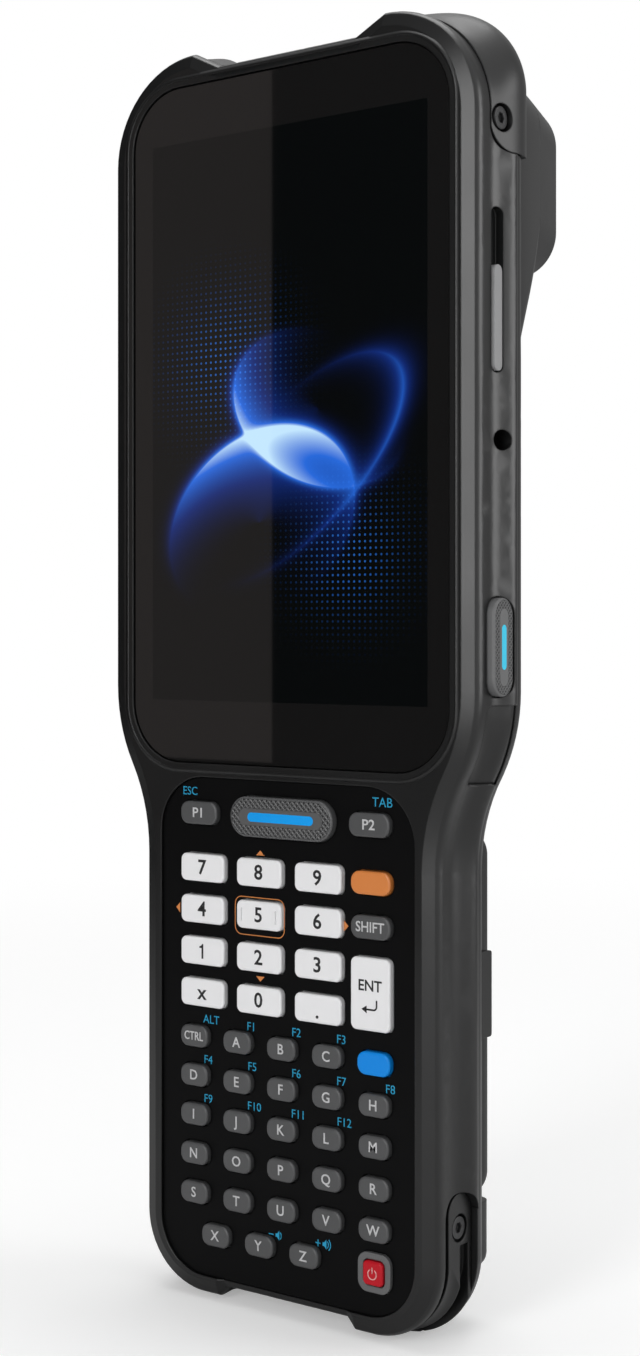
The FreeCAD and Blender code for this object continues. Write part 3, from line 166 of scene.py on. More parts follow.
def buildKnurlGroup():
    group, given, results = newGroup(
        "knurledBand",
        {"U": 0.0, "V": 0.0, "Half": 7.0 * mm, "Inner": 1.4 * mm, "Outer": 2.7 * mm, "Pitch": 0.6 * mm},
        {"Height": "NodeSocketFloat", "PitShade": "NodeSocketFloat"})
    across, up, softEdge = given["U"], given["V"], knurlLook["softEdge"]
    past = calc(group, "SUBTRACT", calc(group, "ABSOLUTE", across), given["Half"])
    past = calc(group, "MAXIMUM", past, 0.0)
    distance = calc(group, "SQRT", sumOfSquares(group, up, past))
    start = fade(group, distance, calc(group, "SUBTRACT", given["Inner"], softEdge), given["Inner"])
    stop = fade(group, distance, given["Outer"], calc(group, "ADD", given["Outer"], softEdge))
    band = calc(group, "MULTIPLY", start, calc(group, "SUBTRACT", 1.0, stop))
    waves = []
    for lean in (1.0, -1.0):
        slope = calc(group, "DIVIDE", calc(group, "MULTIPLY_ADD", up, lean, across), given["Pitch"])
        waves.append(calc(group, "MULTIPLY", calc(group, "PINGPONG", slope, 0.5), 2.0))
    height = calc(group, "MULTIPLY", calc(group, "MAXIMUM", *waves), band)
    # the low parts between the ridges make the mask for painted shade in the pits
    low = calc(group, "SUBTRACT", 1.0, fade(group, height, knurlLook["pitBottom"], knurlLook["pitTop"]))
    setInputs(group, results, {"Height": height, "PitShade": calc(group, "MULTIPLY", low, band)})
    return group


grainGroup = buildGrainGroup()
edgeGroup = buildEdgeGroup()
knurlGroup = buildKnurlGroup()
print("shared effects built")


def newMaterial(name):
    material = bpy.data.materials.new(name)
    material.use_nodes = True
    tree = material.node_tree
    return material, tree, tree.nodes["Principled BSDF"]


def splitPlace(tree):
    return addNode(tree, "ShaderNodeSeparateXYZ", {0: objectPlace(tree)}).outputs


def knurledBand(tree, band):
    parts = splitPlace(tree)
    return placeGroup(tree, knurlGroup,
                      U=calc(tree, "SUBTRACT", parts[band["along"]], band["centre"]),
                      V=calc(tree, "SUBTRACT", parts[band["across"]], band["level"]),
                      Half=band["half"], Inner=band["inner"], Outer=band["outer"], Pitch=band["pitch"])


# what a plastic has unless its own look says otherwise
commonLook = {"lift": 1.25, "edgeColour": (0.16, 0.16, 0.165), "edgeRadius": 0.3 * mm, "specular": 0.5,
              "spread": 0.05, "grainScale": 9000.0, "coatRoughness": 0.1}


# a look holds roughness, grain and edge, and may hold a coat, a knurl and anything in commonLook
def mouldedPlastic(name, colour, ownLook):
    look = {**commonLook, **ownLook}
    material, tree, shader = newMaterial(name)
    grain = placeGroup(tree, grainGroup, Scale=look["grainScale"])
    edge = placeGroup(tree, edgeGroup, Radius=look["edgeRadius"], Amount=look["edge"])
    lighter = tuple(min(1.0, part * look["lift"]) for part in colour)
    skin = mixColour(tree, grain.outputs["Broad"], colour, lighter)
    skin = mixColour(tree, edge.outputs["Mask"], skin, look["edgeColour"])
    rough = addNode(tree, "ShaderNodeMapRange", {
        "Value": grain.outputs["Broad"], "To Min": look["roughness"] - look["spread"],
        "To Max": look["roughness"] + look["spread"]})
    bump = addNode(tree, "ShaderNodeBump", {
        "Height": grain.outputs["Fine"], "Strength": look["grain"], "Distance": grainDepth,
        "Normal": edge.outputs["Normal"]})
    if "knurl" in look:
        knurl = knurledBand(tree, look["knurl"])
        # painted shade: the knurl's pits are darkened towards a near-black colour
        pitShadeMask = calc(tree, "MULTIPLY", knurl.outputs["PitShade"], knurlLook["pitShade"])
        skin = mixColour(tree, pitShadeMask, skin, knurlLook["pitShadeColour"])
        bump = addNode(tree, "ShaderNodeBump", {
            "Height": knurl.outputs["Height"], "Distance": knurlLook["depth"],
            "Normal": bump.outputs["Normal"]})
    setInputs(tree, shader, {
        "Base Color": skin, "Roughness": rough.outputs["Result"], "Normal": bump.outputs["Normal"],
        "Specular IOR Level": look["specular"]})
    if "coat" in look:
        setInputs(tree, shader, {"Coat Weight": look["coat"], "Coat Roughness": look["coatRoughness"]})
    return material


scanKeyBand = {"along": "X", "across": "Z", "centre": 0.0, "level": 80.97 * mm, "half": 7.15 * mm,
               "inner": 1.45 * mm, "outer": 2.90 * mm, "pitch": 0.95 * mm}
triggerBand = {"along": "Z", "across": "Y", "centre": 108.9 * mm, "level": -12.6 * mm, "half": 4.8 * mm,
               "inner": 1.25 * mm, "outer": 2.40 * mm, "pitch": 0.80 * mm}
plasticLooks = {
    "frontShell": ((0.0050, 0.0051, 0.0053), {"roughness": 0.31, "grain": 0.10, "edge": 0.15}),
    "rearShell": ((0.0070, 0.0071, 0.0073), {"roughness": 0.34, "grain": 0.12, "edge": 0.15}),
    "cornerCap": ((0.0070, 0.0071, 0.0073), {"roughness": 0.36, "grain": 0.10, "edge": 0.15,
                                             "specular": 0.45}),
    "hood": ((0.0055, 0.0056, 0.0058), {"roughness": 0.36, "grain": 0.10, "edge": 0.15, "specular": 0.32}),
    "battery": ((0.0065, 0.0066, 0.0068), {"roughness": 0.45, "grain": 0.14, "edge": 0.15, "specular": 0.4}),
    "latch": ((0.0085, 0.0086, 0.0088), {"roughness": 0.4, "grain": 0.12, "edge": 0.2, "specular": 0.4}),
    "keypadBlack": ((0.0025, 0.0025, 0.0027), {"roughness": 0.42, "grain": 0.05, "edge": 0.1,
                                               "specular": 0.08}),
    "whiteKey": ((0.86, 0.86, 0.87), {"roughness": 0.32, "grain": 0.03, "edge": 0.1, "lift": 1.04,
                                      "edgeColour": (0.7, 0.7, 0.7), "coat": 0.25}),
    "greyKey": ((0.072, 0.073, 0.075), {"roughness": 0.38, "grain": 0.04, "edge": 0.25, "lift": 1.1}),
    "scanKeyGrey": ((0.095, 0.096, 0.098), {"roughness": 0.36, "grain": 0.04, "edge": 0.25, "lift": 1.1,
                                            "knurl": scanKeyBand}),
    "orangeKey": ((0.68, 0.22, 0.05), {"roughness": 0.34, "grain": 0.03, "edge": 0.1, "lift": 1.08,
                                       "edgeColour": (0.7, 0.35, 0.15), "coat": 0.2}),
    "blueKey": ((0.003, 0.25, 0.78), {"roughness": 0.34, "grain": 0.03, "edge": 0.1, "lift": 1.08,
                                      "edgeColour": (0.2, 0.4, 0.8), "specular": 0.25}),
    "redKey": ((0.50, 0.006, 0.016), {"roughness": 0.34, "grain": 0.03, "edge": 0.1, "lift": 1.1,
                                      "edgeColour": (0.6, 0.1, 0.1), "specular": 0.25}),
    "ringGrey": ((0.12, 0.121, 0.123), {"roughness": 0.35, "grain": 0.04, "edge": 0.25, "lift": 1.08,
                                        "coat": 0.15}),
    "triggerGrey": ((0.120, 0.121, 0.123), {"roughness": 0.42, "grain": 0.08, "edge": 0.3,
                                            "knurl": triggerBand}),
    "switchGrey": ((0.27, 0.27, 0.275), {"roughness": 0.38, "grain": 0.05, "edge": 0.2,
                                         "edgeColour": (0.4, 0.4, 0.4)}),
    "blackened": ((0.02, 0.02, 0.021), {"roughness": 0.35, "grain": 0.10, "edge": 0.6}),
    "siliconeGrey": ((0.08, 0.08, 0.08), {"roughness": 0.7, "grain": 0.1, "edge": 0.1}),
    "sealRubber": ((0.01, 0.01, 0.01), {"roughness": 0.75, "grain": 0.1, "edge": 0.1}),
    "engineBlack": ((0.01, 0.01, 0.01), {"roughness": 0.5, "grain": 0.1, "edge": 0.3}),
    "boardGreen": ((0.01, 0.07, 0.035), {"roughness": 0.35, "grain": 0.1, "edge": 0.2}),
    "legendDark": ((0.01, 0.01, 0.011), {"roughness": 0.5, "grain": 0.03, "edge": 0.0}),
    "legendPale": ((0.62, 0.62, 0.63), {"roughness": 0.5, "grain": 0.03, "edge": 0.0, "lift": 1.05}),
    "legendCyan": ((0.010, 0.36, 0.62), {"roughness": 0.5, "grain": 0.03, "edge": 0.0, "lift": 1.05}),
    "legendRose": ((0.80, 0.42, 0.40), {"roughness": 0.5, "grain": 0.03, "edge": 0.0, "lift": 1.05}),
    "legendOrange": ((0.70, 0.24, 0.06), {"roughness": 0.5, "grain": 0.03, "edge": 0.0, "lift": 1.05}),
}
materials = {name: mouldedPlastic(name, colour, look) for name, (colour, look) in plasticLooks.items()}

# light guides glow a little
guideLooks = {"blueBar": (0.003, 0.28, 0.72), "cyanBar": (0.040, 0.52, 0.74)}
guideShine = {"glow": 0.35, "roughness": 0.25, "deepen": 0.8}


def lightGuide(name, colour):
    material, tree, shader = newMaterial(name)
    grain = placeGroup(tree, grainGroup, Scale=3000.0, Strength=0.03)
    deep = tuple(part * guideShine["deepen"] for part in colour)
    tint = mixColour(tree, grain.outputs["Broad"], deep, colour)
    setInputs(tree, shader, {
        "Base Color": tint, "Emission Color": tint, "Emission Strength": guideShine["glow"],
        "Roughness": guideShine["roughness"], "Normal": grain.outputs["Normal"]})
    return material


for guideName, guideColour in guideLooks.items():
    materials[guideName] = lightGuide(guideName, guideColour)

contactGold = {"dark": (0.75, 0.52, 0.2), "light": (0.85, 0.64, 0.28), "roughness": 0.3}


def goldPlate():
    material, tree, shader = newMaterial("goldPlate")
    grain = placeGroup(tree, grainGroup, Scale=5000.0, Strength=0.06)
    setInputs(tree, shader, {
        "Base Color": mixColour(tree, grain.outputs["Broad"], contactGold["dark"], contactGold["light"]),
        "Normal": grain.outputs["Normal"], "Metallic": 1.0, "Roughness": contactGold["roughness"]})
    return material


materials["goldPlate"] = goldPlate()

scanRed = {"dark": (0.020, 0.002, 0.003), "light": (0.028, 0.003, 0.004), "smoothest": 0.04, "spread": 0.06}


def scanGlass():
    material, tree, shader = newMaterial("scanGlass")
    broad = placeGroup(tree, grainGroup, Cloud=25.0).outputs["Broad"]
    setInputs(tree, shader, {
        "Base Color": mixColour(tree, broad, scanRed["dark"], scanRed["light"]),
        "Roughness": calc(tree, "MULTIPLY_ADD", broad, scanRed["spread"], scanRed["smoothest"])})
    return material


materials["scanGlass"] = scanGlass()

# the display: a black border round a picture of bent streaks of blue light and fading dots
display = {
    "halfWidth": 28.08 * mm, "low": 99.7 * mm, "high": 193.3 * mm, "glow": 1.0, "specular": 0.5,
    "smoothest": 0.01, "spread": 0.02, "border": (0.0076, 0.0073, 0.0073),
    "screenBase": (0.0008, 0.0009, 0.0010), "offBlack": (0.0009, 0.0013, 0.0014),
    # lengths in millimetres and angles in degrees: centre x, centre z, radius, flatness, turn,
    # softness inside, softness outside, bright side, how fast it fades along, strength
    "arcs": [
        (-5.0, 129.0, 20.0, 0.72, 24.0, 5.0, 0.7, 62.0, 3.2, 1.05),
        (7.0, 147.0, 18.0, 0.66, -22.0, 4.6, 0.6, 236.0, 3.4, 0.80),
        (2.0, 137.0, 26.0, 0.42, 38.0, 1.6, 1.2, 330.0, 4.0, 0.30),
    ],
    "dotPitch": 1.05 * mm, "dotRadius": 0.19 * mm, "dotColour": (0.016, 0.11, 0.42),
    "dotPlaces": [(13.0, 124.0, 8.0), (-12.0, 156.0, 9.0)],  # centre x, centre z, reach
    "glowSteps": [(0.12, (0.004, 0.020, 0.16)), (0.45, (0.02, 0.14, 0.70))],
    "brightest": (0.95, (0.55, 0.80, 1.0)),
}


# a bent streak of light, sharp outside and soft inside, that fades along its length
def lightArc(tree, x, z, arc):
    centreX, centreZ, radius, flatness, turn, inSoft, outSoft, brightSide, spread, strength = arc
    cosTurn, sinTurn = math.cos(math.radians(turn)), math.sin(math.radians(turn))
    dx = calc(tree, "SUBTRACT", x, centreX * mm)
    dz = calc(tree, "SUBTRACT", z, centreZ * mm)
    along = calc(tree, "MULTIPLY_ADD", dx, cosTurn, calc(tree, "MULTIPLY", dz, sinTurn))
    sideways = calc(tree, "MULTIPLY", dx, -sinTurn / flatness)
    across = calc(tree, "MULTIPLY_ADD", dz, cosTurn / flatness, sideways)
    distance = calc(tree, "SQRT", sumOfSquares(tree, along, across))
    off = calc(tree, "SUBTRACT", distance, radius * mm)
    inside = calc(tree, "MULTIPLY", off, 1.0 / (inSoft * mm))
    outside = calc(tree, "MULTIPLY", off, -1.0 / (outSoft * mm))
    band = calc(tree, "EXPONENT", calc(tree, "MINIMUM", inside, outside))
    cosBright, sinBright = math.cos(math.radians(brightSide)), math.sin(math.radians(brightSide))
    lean = calc(tree, "MULTIPLY_ADD", along, cosBright, calc(tree, "MULTIPLY", across, sinBright))
    facing = calc(tree, "DIVIDE", lean, calc(tree, "MAXIMUM", distance, 0.1 * mm))
    sweep = calc(tree, "POWER", calc(tree, "MULTIPLY_ADD", facing, 0.5, 0.5, clamp=True), spread)
    return calc(tree, "MULTIPLY", calc(tree, "MULTIPLY", band, sweep), strength)


# one more amount taken together with those before it, which may be none
def joined(tree, operation, first, second):
    return second if first is None else calc(tree, operation, first, second)


def dotGrid(tree, x, z):
    offsets = []
    for value in (x, z):
        cell = calc(tree, "FRACT", calc(tree, "DIVIDE", value, display["dotPitch"]))
        offsets.append(calc(tree, "MULTIPLY", calc(tree, "SUBTRACT", cell, 0.5), display["dotPitch"]))
    dots = calc(tree, "LESS_THAN", calc(tree, "SQRT", sumOfSquares(tree, *offsets)), display["dotRadius"])
    near = None
    for placeX, placeZ, reach in display["dotPlaces"]:
        dx = calc(tree, "DIVIDE", calc(tree, "SUBTRACT", x, placeX * mm), reach * mm)
        dz = calc(tree, "DIVIDE", calc(tree, "SUBTRACT", z, placeZ * mm), reach * mm)
        cloud = calc(tree, "EXPONENT", calc(tree, "MULTIPLY", sumOfSquares(tree, dx, dz), -1.0))
        near = joined(tree, "MAXIMUM", near, cloud)
    return calc(tree, "MULTIPLY", dots, near)


def glowRamp(tree, light):
    ramp = addNode(tree, "ShaderNodeValToRGB", {"Fac": light})
    dark, bright = ramp.color_ramp.elements
    dark.color = (0, 0, 0, 1)
    bright.position = display["brightest"][0]
    bright.color = (*display["brightest"][1], 1)
    for position, colour in display["glowSteps"]:
        ramp.color_ramp.elements.new(position).color = (*colour, 1)
    return ramp.outputs["Color"]


def displayGlass():
    material, tree, shader = newMaterial("displayGlass")
    parts = splitPlace(tree)
    x, z = parts["X"], parts["Z"]
    middle = (display["low"] + display["high"]) / 2
    half = (display["high"] - display["low"]) / 2
    inX = calc(tree, "LESS_THAN", calc(tree, "ABSOLUTE", x), display["halfWidth"])
    inZ = calc(tree, "LESS_THAN", calc(tree, "ABSOLUTE", calc(tree, "SUBTRACT", z, middle)), half)
    screen = calc(tree, "MULTIPLY", inX, inZ)
    light = None
    for arc in display["arcs"]:
        light = joined(tree, "ADD", light, lightArc(tree, x, z, arc))
    picture = mixColour(tree, 1.0, glowRamp(tree, light), display["offBlack"], "ADD")
    picture = mixColour(tree, dotGrid(tree, x, z), picture, display["dotColour"], "ADD")
    broad = placeGroup(tree, grainGroup, Cloud=18.0).outputs["Broad"]
    setInputs(tree, shader, {
        "Base Color": mixColour(tree, screen, display["border"], display["screenBase"]),
        "Emission Color": mixColour(tree, screen, (0.0, 0.0, 0.0), picture),
        "Emission Strength": display["glow"], "Specular IOR Level": display["specular"],
        "Roughness": calc(tree, "MULTIPLY_ADD", broad, display["spread"], display["smoothest"])})
    return material


materials["displayGlass"] = displayGlass()
print("materials made:", len(materials))

# CAD nodes keep their shape and take these finishes, by name or by how the name starts
finishes = {
    "front_housing": "frontShell", "rear_housing": "rearShell", "display_window": "displayGlass",
    "display_module": "engineBlack", "keypad_panel": "keypadBlack", "keypad_mat": "siliconeGrey",
    "keypad_board": "boardGreen", "main_board": "boardGreen", "power_key_ring": "ringGrey",
    "cap_screws": "blackened", "scan_hood": "hood", "scan_window": "scanGlass", "scan_engine": "engineBlack",
    "dock_contacts": "goldPlate", "battery_contacts": "goldPlate", "housing_gasket": "sealRubber",
    "scan_key": "scanKeyGrey", "scan_key_light_bar": "blueBar", "slide_switch": "switchGrey",
    "battery_pack": "battery", "key_orange": "orangeKey", "key_blue": "blueKey", "power_key": "redKey",
    "key_shift": "greyKey", "key_p1": "greyKey", "key_p2": "greyKey", "rear_screws": "blackened",
    "speaker": "engineBlack", "trigger_switches": "engineBlack", "scan_engine_bracket": "blackened",
}
startsWith = [
    ("corner_cap", "cornerCap"), ("side_trigger_light_bar", "cyanBar"), ("side_trigger", "triggerGrey"),
    ("battery_latch", "latch"), ("letter_keys", "greyKey"), ("key_", "whiteKey"),
]


def finishOf(node):
    if node in finishes:
        return finishes[node]
    return next(finish for start, finish in startsWith if node.startswith(start))


def dressNodes():
    for name, piece in nodes.items():
        piece.data.materials.clear()
        piece.data.materials.append(materials[finishOf(name)])


dressNodes()
print("CAD nodes dressed")


# outlines are lists of points across and up the front
def arcPoints(x, z, radius, start, end, count=12):
    angles = [math.radians(start + (end - start) * n / count) for n in range(count + 1)]
    return [(x + radius * math.cos(a), z + radius * math.sin(a)) for a in angles]


def pillPoints(x, z, width, height, corner, count=6):
    halfX, halfZ = width / 2 - corner, height / 2 - corner
    points = []
    for signX, signZ, start in ((1, 1, 0), (-1, 1, 90), (-1, -1, 180), (1, -1, 270)):
        points += arcPoints(x + signX * halfX, z + signZ * halfZ, corner, start, start + 90, count)
    return points


# outline of a line of even width through some points
def strip(points, width):
    left, right = [], []
    for index, here in enumerate(points):
        before = points[max(index - 1, 0)]
        after = points[min(index + 1, len(points) - 1)]
        along = Vector((after[0] - before[0], after[1] - before[1])).normalized()
        side = Vector((-along.y, along.x)) * width / 2
        left.append((here[0] + side.x, here[1] + side.y))
        right.append((here[0] - side.x, here[1] - side.y))
    return left + right[::-1]


# an outline drawn in millimetres, moved to its place
def placed(outline, x, z):
    return [(x + across * mm, z + up * mm) for across, up in outline]


# loops of points in a mesh, each laid at one depth, and bands of faces between pairs of loops
def addLoop(build, outline, y):
    return [build.verts.new((x, y, z)) for x, z in outline]


def joinLoops(build, pairs, smooth=False):
    for lower, upper in pairs:
        for n in range(len(lower)):
            following = (n + 1) % len(lower)
            build.faces.new((lower[n], lower[following], upper[following], upper[n])).smooth = smooth


def addPiece(name, build, finish):
    bmesh.ops.recalc_face_normals(build, faces=build.faces)
    mesh = bpy.data.meshes.new(name)
    build.to_mesh(mesh)
    build.free()
    mesh.materials.append(materials[finish])
    piece = bpy.data.objects.new(name, mesh)
    bpy.context.scene.collection.objects.link(piece)
    return piece


# the cover glass stands nearly level with the rim, with a small chamfer round it
glassFace = {"halfWide": 32.2 * mm, "low": 89.3 * mm, "high": 202.7 * mm, "corner": 10.0 * mm,
             "cornerSteps": 14, "rise": 1.1 * mm, "chamfer": 0.2 * mm}


# the outline of the cover glass, moved outwards and laid at one depth
def glassLoop(build, y, outward):
    middle = (glassFace["low"] + glassFace["high"]) / 2
    wide = 2 * (glassFace["halfWide"] + outward)
    tall = glassFace["high"] - glassFace["low"] + 2 * outward
    outline = pillPoints(0.0, middle, wide, tall, glassFace["corner"] + outward, glassFace["cornerSteps"])
    return addLoop(build, outline, y)


def coverGlass():
    back, chamfer = frontOf("display_window"), glassFace["chamfer"]
    front = back - glassFace["rise"]
    build = bmesh.new()
    steps = ((back, 0.0), (front + chamfer, 0.0), (front, -chamfer))
    loops = [glassLoop(build, y, outward) for y, outward in steps]
    joinLoops(build, zip(loops, loops[1:]))
    build.faces.new(loops[0])
    build.faces.new(loops[-1])
    piece = addPiece("display_cover_glass", build, "displayGlass")
    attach(piece, bodyOf("display_window"))


coverGlass()
print("cover glass made")

# a low lip round the cover glass, steep on its inner side
rimLip = {
    "level": 18.8 * mm,
    # distance out from the glass and rise above the level, in millimetres
    "profile": [(1.80, -0.04), (1.70, 0.01), (1.25, 0.12), (1.14, 0.13), (1.06, 0.11), (1.01, 0.05),
                (1.00, -0.05)],
}


def glassLip():
    build = bmesh.new()
    loops = [glassLoop(build, -rimLip["level"] - rise * mm, away * mm) for away, rise in rimLip["profile"]]
    joinLoops(build, zip(loops, loops[1:] + loops[:1]), smooth=True)
    piece = addPiece("display_rim_lip", build, "frontShell")
    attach(piece, bodyOf("front_housing"))


glassLip()
print("rim lip made")

# printing stands a hair proud of the node it is printed on, and rides with it
inkHeight = 0.03 * mm


def printShape(name, node, outlines, finish, height=inkHeight):
    face = frontOf(node)
    build = bmesh.new()
    for outline in outlines:
        back, front = addLoop(build, outline, face), addLoop(build, outline, face - height)
        joinLoops(build, [(back, front)])
        build.faces.new(back)
        build.faces.new(front)
    piece = addPiece(name, build, finish)
    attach(piece, bodyOf(node))


def printBand(name, node, outer, inner, finish):
    back = frontOf(node)
    front = back - inkHeight
    build = bmesh.new()
    places = ((outer, back), (inner, back), (inner, front), (outer, front))
    loops = [addLoop(build, *place) for place in places]
    joinLoops(build, zip(loops, loops[1:] + loops[:1]))
    piece = addPiece(name, build, finish)
    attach(piece, bodyOf(node))


capitalShare = 0.72  # a capital's height in parts of the font's size
lettering = {
    "number": {"tall": 2.45 * mm, "weight": 0.055 * mm, "squeeze": 1.06, "finish": "legendDark"},
    "enter": {"tall": 1.75 * mm, "weight": 0.04 * mm, "squeeze": 1.0, "finish": "legendDark"},
    "shift": {"tall": 1.65 * mm, "weight": 0.03 * mm, "squeeze": 0.96, "finish": "legendPale"},
    "side": {"tall": 1.65 * mm, "weight": 0.03 * mm, "squeeze": 1.12, "finish": "legendPale"},
    "letter": {"tall": 1.70 * mm, "weight": 0.03 * mm, "squeeze": 1.0, "finish": "legendPale"},
    "control": {"tall": 1.45 * mm, "weight": 0.03 * mm, "squeeze": 0.84, "finish": "legendPale"},
    "blue": {"weight": 0.0, "squeeze": 1.0, "finish": "legendCyan"},  # each word has its own height
}


def printText(name, node, words, x, z, style):
    curve = bpy.data.curves.new(name, "FONT")
    curve.body = words
    curve.size = style["tall"] / capitalShare
    curve.align_x = "CENTER"
    curve.align_y = "CENTER"
    curve.offset = style["weight"]
    curve.extrude = inkHeight / 2
    curve.resolution_u = 3
    curve.materials.append(materials[style["finish"]])
    piece = bpy.data.objects.new(name, curve)
    piece.rotation_euler = (math.radians(90), 0, 0)
    piece.scale = (style["squeeze"], 1, 1)
    piece.location = (x, frontOf(node) - inkHeight / 2, z)
    bpy.context.scene.collection.objects.link(piece)
    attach(piece, bodyOf(node))


# the figure one with a flag, in parts of its height
figureOne = [(0.12, -0.5), (0.12, 0.5), (0.02, 0.5), (-0.03, 0.41), (-0.10, 0.355), (-0.21, 0.34),
             (-0.21, 0.22), (-0.03, 0.22), (-0.03, -0.5)]
pointDrop = 0.4 * mm


def numberLegends():
    style = lettering["number"]
    for mark in ("point", *"7894561230x"):
        node = f"key_{mark}"
        middle = centreOf(node)
        if mark == "1":
            tall = style["tall"]
            outline = [(middle.x + px * tall, middle.z + pz * tall) for px, pz in figureOne]
            printShape(f"legend_{node}", node, [outline], style["finish"])
        elif mark == "point":
            printText(f"legend_{node}", node, ".", middle.x, middle.z - pointDrop, style)
        else:
            printText(f"legend_{node}", node, mark, middle.x, middle.z, style)


numberLegends()

# two finger ridges on the middle number key
ridge = {"apart": 3.55 * mm, "width": 0.32 * mm, "tall": 2.2 * mm, "corner": 0.15 * mm, "height": 0.22 * mm}


def fingerRidges():
    middle = centreOf("key_5")
    outlines = []
    for side in (-1, 1):
        x = middle.x + side * ridge["apart"]
        outlines.append(pillPoints(x, middle.z, ridge["width"], ridge["tall"], ridge["corner"], 4))
    printShape("key_5_ridges", "key_5", outlines, "whiteKey", ridge["height"])


fingerRidges()

# the enter key's word and bent arrow, in millimetres from the arrow's middle
enterMark = {"wordUp": 1.3, "arrowDown": 1.9, "stemTop": (1.3, 1.1), "shaftEnd": (-0.9, -0.45), "line": 0.28,
             "bend": (0.75, 0.1, 0.55),  # centre and radius
             "head": [(-1.6, -0.45), (-0.6, -1.05), (-0.6, 0.15)]}


def sideLegends():
    for node, words, style in (("shift", "SHIFT", "shift"), ("p1", "P1", "side"), ("p2", "P2", "side")):
        middle = centreOf(f"key_{node}")
        printText(f"legend_key_{node}", f"key_{node}", words, middle.x, middle.z, lettering[style])
    middle = centreOf("key_enter")
    wordLevel = middle.z + enterMark["wordUp"] * mm
    arrowLevel = middle.z - enterMark["arrowDown"] * mm
    printText("legend_enter_word", "key_enter", "ENT", middle.x, wordLevel, lettering["enter"])
    bend = arcPoints(*enterMark["bend"], 0, -90, 5)
    hook = strip([enterMark["stemTop"], *bend, enterMark["shaftEnd"]], enterMark["line"])
    outlines = [placed(shape, middle.x, arrowLevel) for shape in (hook, enterMark["head"])]
    printShape("legend_enter_arrow", "key_enter", outlines, "legendDark")


sideLegends()

# second functions, arrows and the ring round key 5, printed on the panel, in millimetres
panelLegends = {
    # words, centre x, centre z, height
    "words": [
        ("ESC", -19.87, 84.46, 1.42), ("TAB", 19.48, 84.51, 1.54), ("ALT", -15.29, 46.59, 1.43),
        ("F1", -6.76, 46.43, 1.43), ("F2", 2.54, 46.56, 1.43), ("F3", 11.53, 46.53, 1.43),
        ("F4", -15.94, 39.85, 1.43), ("F5", -6.55, 39.90, 1.43), ("F6", 2.54, 39.95, 1.43),
        ("F7", 11.53, 39.87, 1.43), ("F8", 21.00, 39.89, 1.43), ("F9", -15.94, 33.36, 1.43),
        ("F10", -6.13, 33.41, 1.43), ("F11", 2.95, 33.41, 1.43), ("F12", 12.12, 33.46, 1.43),
    ],
    # centre x, centre z, and the way each small triangle points
    "arrows": [(-4.87, 75.07, 90), (-22.53, 64.79, 180), (12.51, 64.68, 0), (-4.87, 54.49, -90)],
    "arrowLong": 1.75, "arrowTall": 0.85,
    "ring": {"left": -10.14, "right": 0.09, "low": 61.51, "high": 67.72, "corner": 1.3, "line": 0.16},
}


def wordPrint():
    for words, x, z, tall in panelLegends["words"]:
        style = {**lettering["blue"], "tall": tall * mm}
        printText(f"legend_blue_{words}", "keypad_panel", words, x * mm, z * mm, style)


def arrowPrint():
    far, wide = panelLegends["arrowTall"] / 2, panelLegends["arrowLong"] / 2
    outlines = []
    for x, z, way in panelLegends["arrows"]:
        cosWay, sinWay = math.cos(math.radians(way)), math.sin(math.radians(way))
        triangle = [(along * cosWay - across * sinWay, along * sinWay + across * cosWay)
                    for along, across in ((far, 0), (-far, wide), (-far, -wide))]
        outlines.append(placed(triangle, x * mm, z * mm))
    printShape("legend_arrows", "keypad_panel", outlines, "legendOrange")


def ringPrint():
    ring = panelLegends["ring"]
    middleX, middleZ = (ring["left"] + ring["right"]) / 2, (ring["low"] + ring["high"]) / 2
    wide, tall = ring["right"] - ring["left"], ring["high"] - ring["low"]
    loops = []
    for grow in (ring["line"], -ring["line"]):
        outline = pillPoints(0, 0, wide + grow, tall + grow, ring["corner"] + grow / 2)
        loops.append(placed(outline, middleX * mm, middleZ * mm))
    printBand("legend_ring", "keypad_panel", *loops, "legendOrange")


# a speaker with one wave and a minus sign, and one with two waves and a plus sign, in millimetres
speakerMark = {
    "places": [(-1.55, 13.28, 1), (7.97, 13.55, 2)],  # centre x, centre z, waves
    "cone": [(-0.15, -0.28), (0.15, -0.28), (0.62, -0.80), (0.62, 0.80), (0.15, 0.28), (-0.15, 0.28)],
    "minus": [(-1.55, -0.10), (-0.55, -0.10), (-0.55, 0.10), (-1.55, 0.10)],
    "plusEnds": [[(-1.15, 0.12), (-0.95, 0.12), (-0.95, 0.55), (-1.15, 0.55)],
                 [(-1.15, -0.55), (-0.95, -0.55), (-0.95, -0.12), (-1.15, -0.12)]],
    "waveFrom": 0.30, "waveRadius": 0.72, "waveStep": 0.42, "waveAngle": 48, "waveLine": 0.17,
}


def speakerPrint():
    angle, line = speakerMark["waveAngle"], speakerMark["waveLine"]
    for x, z, waves in speakerMark["places"]:
        shapes = [speakerMark["cone"], speakerMark["minus"]]
        if waves > 1:
            shapes += speakerMark["plusEnds"]
        for wave in range(waves):
            radius = speakerMark["waveRadius"] + speakerMark["waveStep"] * wave
            shapes.append(strip(arcPoints(speakerMark["waveFrom"], 0.0, radius, -angle, angle, 8), line))
        outlines = [placed(shape, x * mm, z * mm) for shape in shapes]
        printShape(f"legend_speaker_{waves}", "keypad_panel", outlines, "legendCyan")


# an open ring and a bar, in millimetres and degrees
powerMark = {"ringDown": 0.08, "radius": 0.80, "start": 122, "end": 418, "line": 0.19, "barUp": 0.50,
             "barTall": 1.05, "barCorner": 0.09}


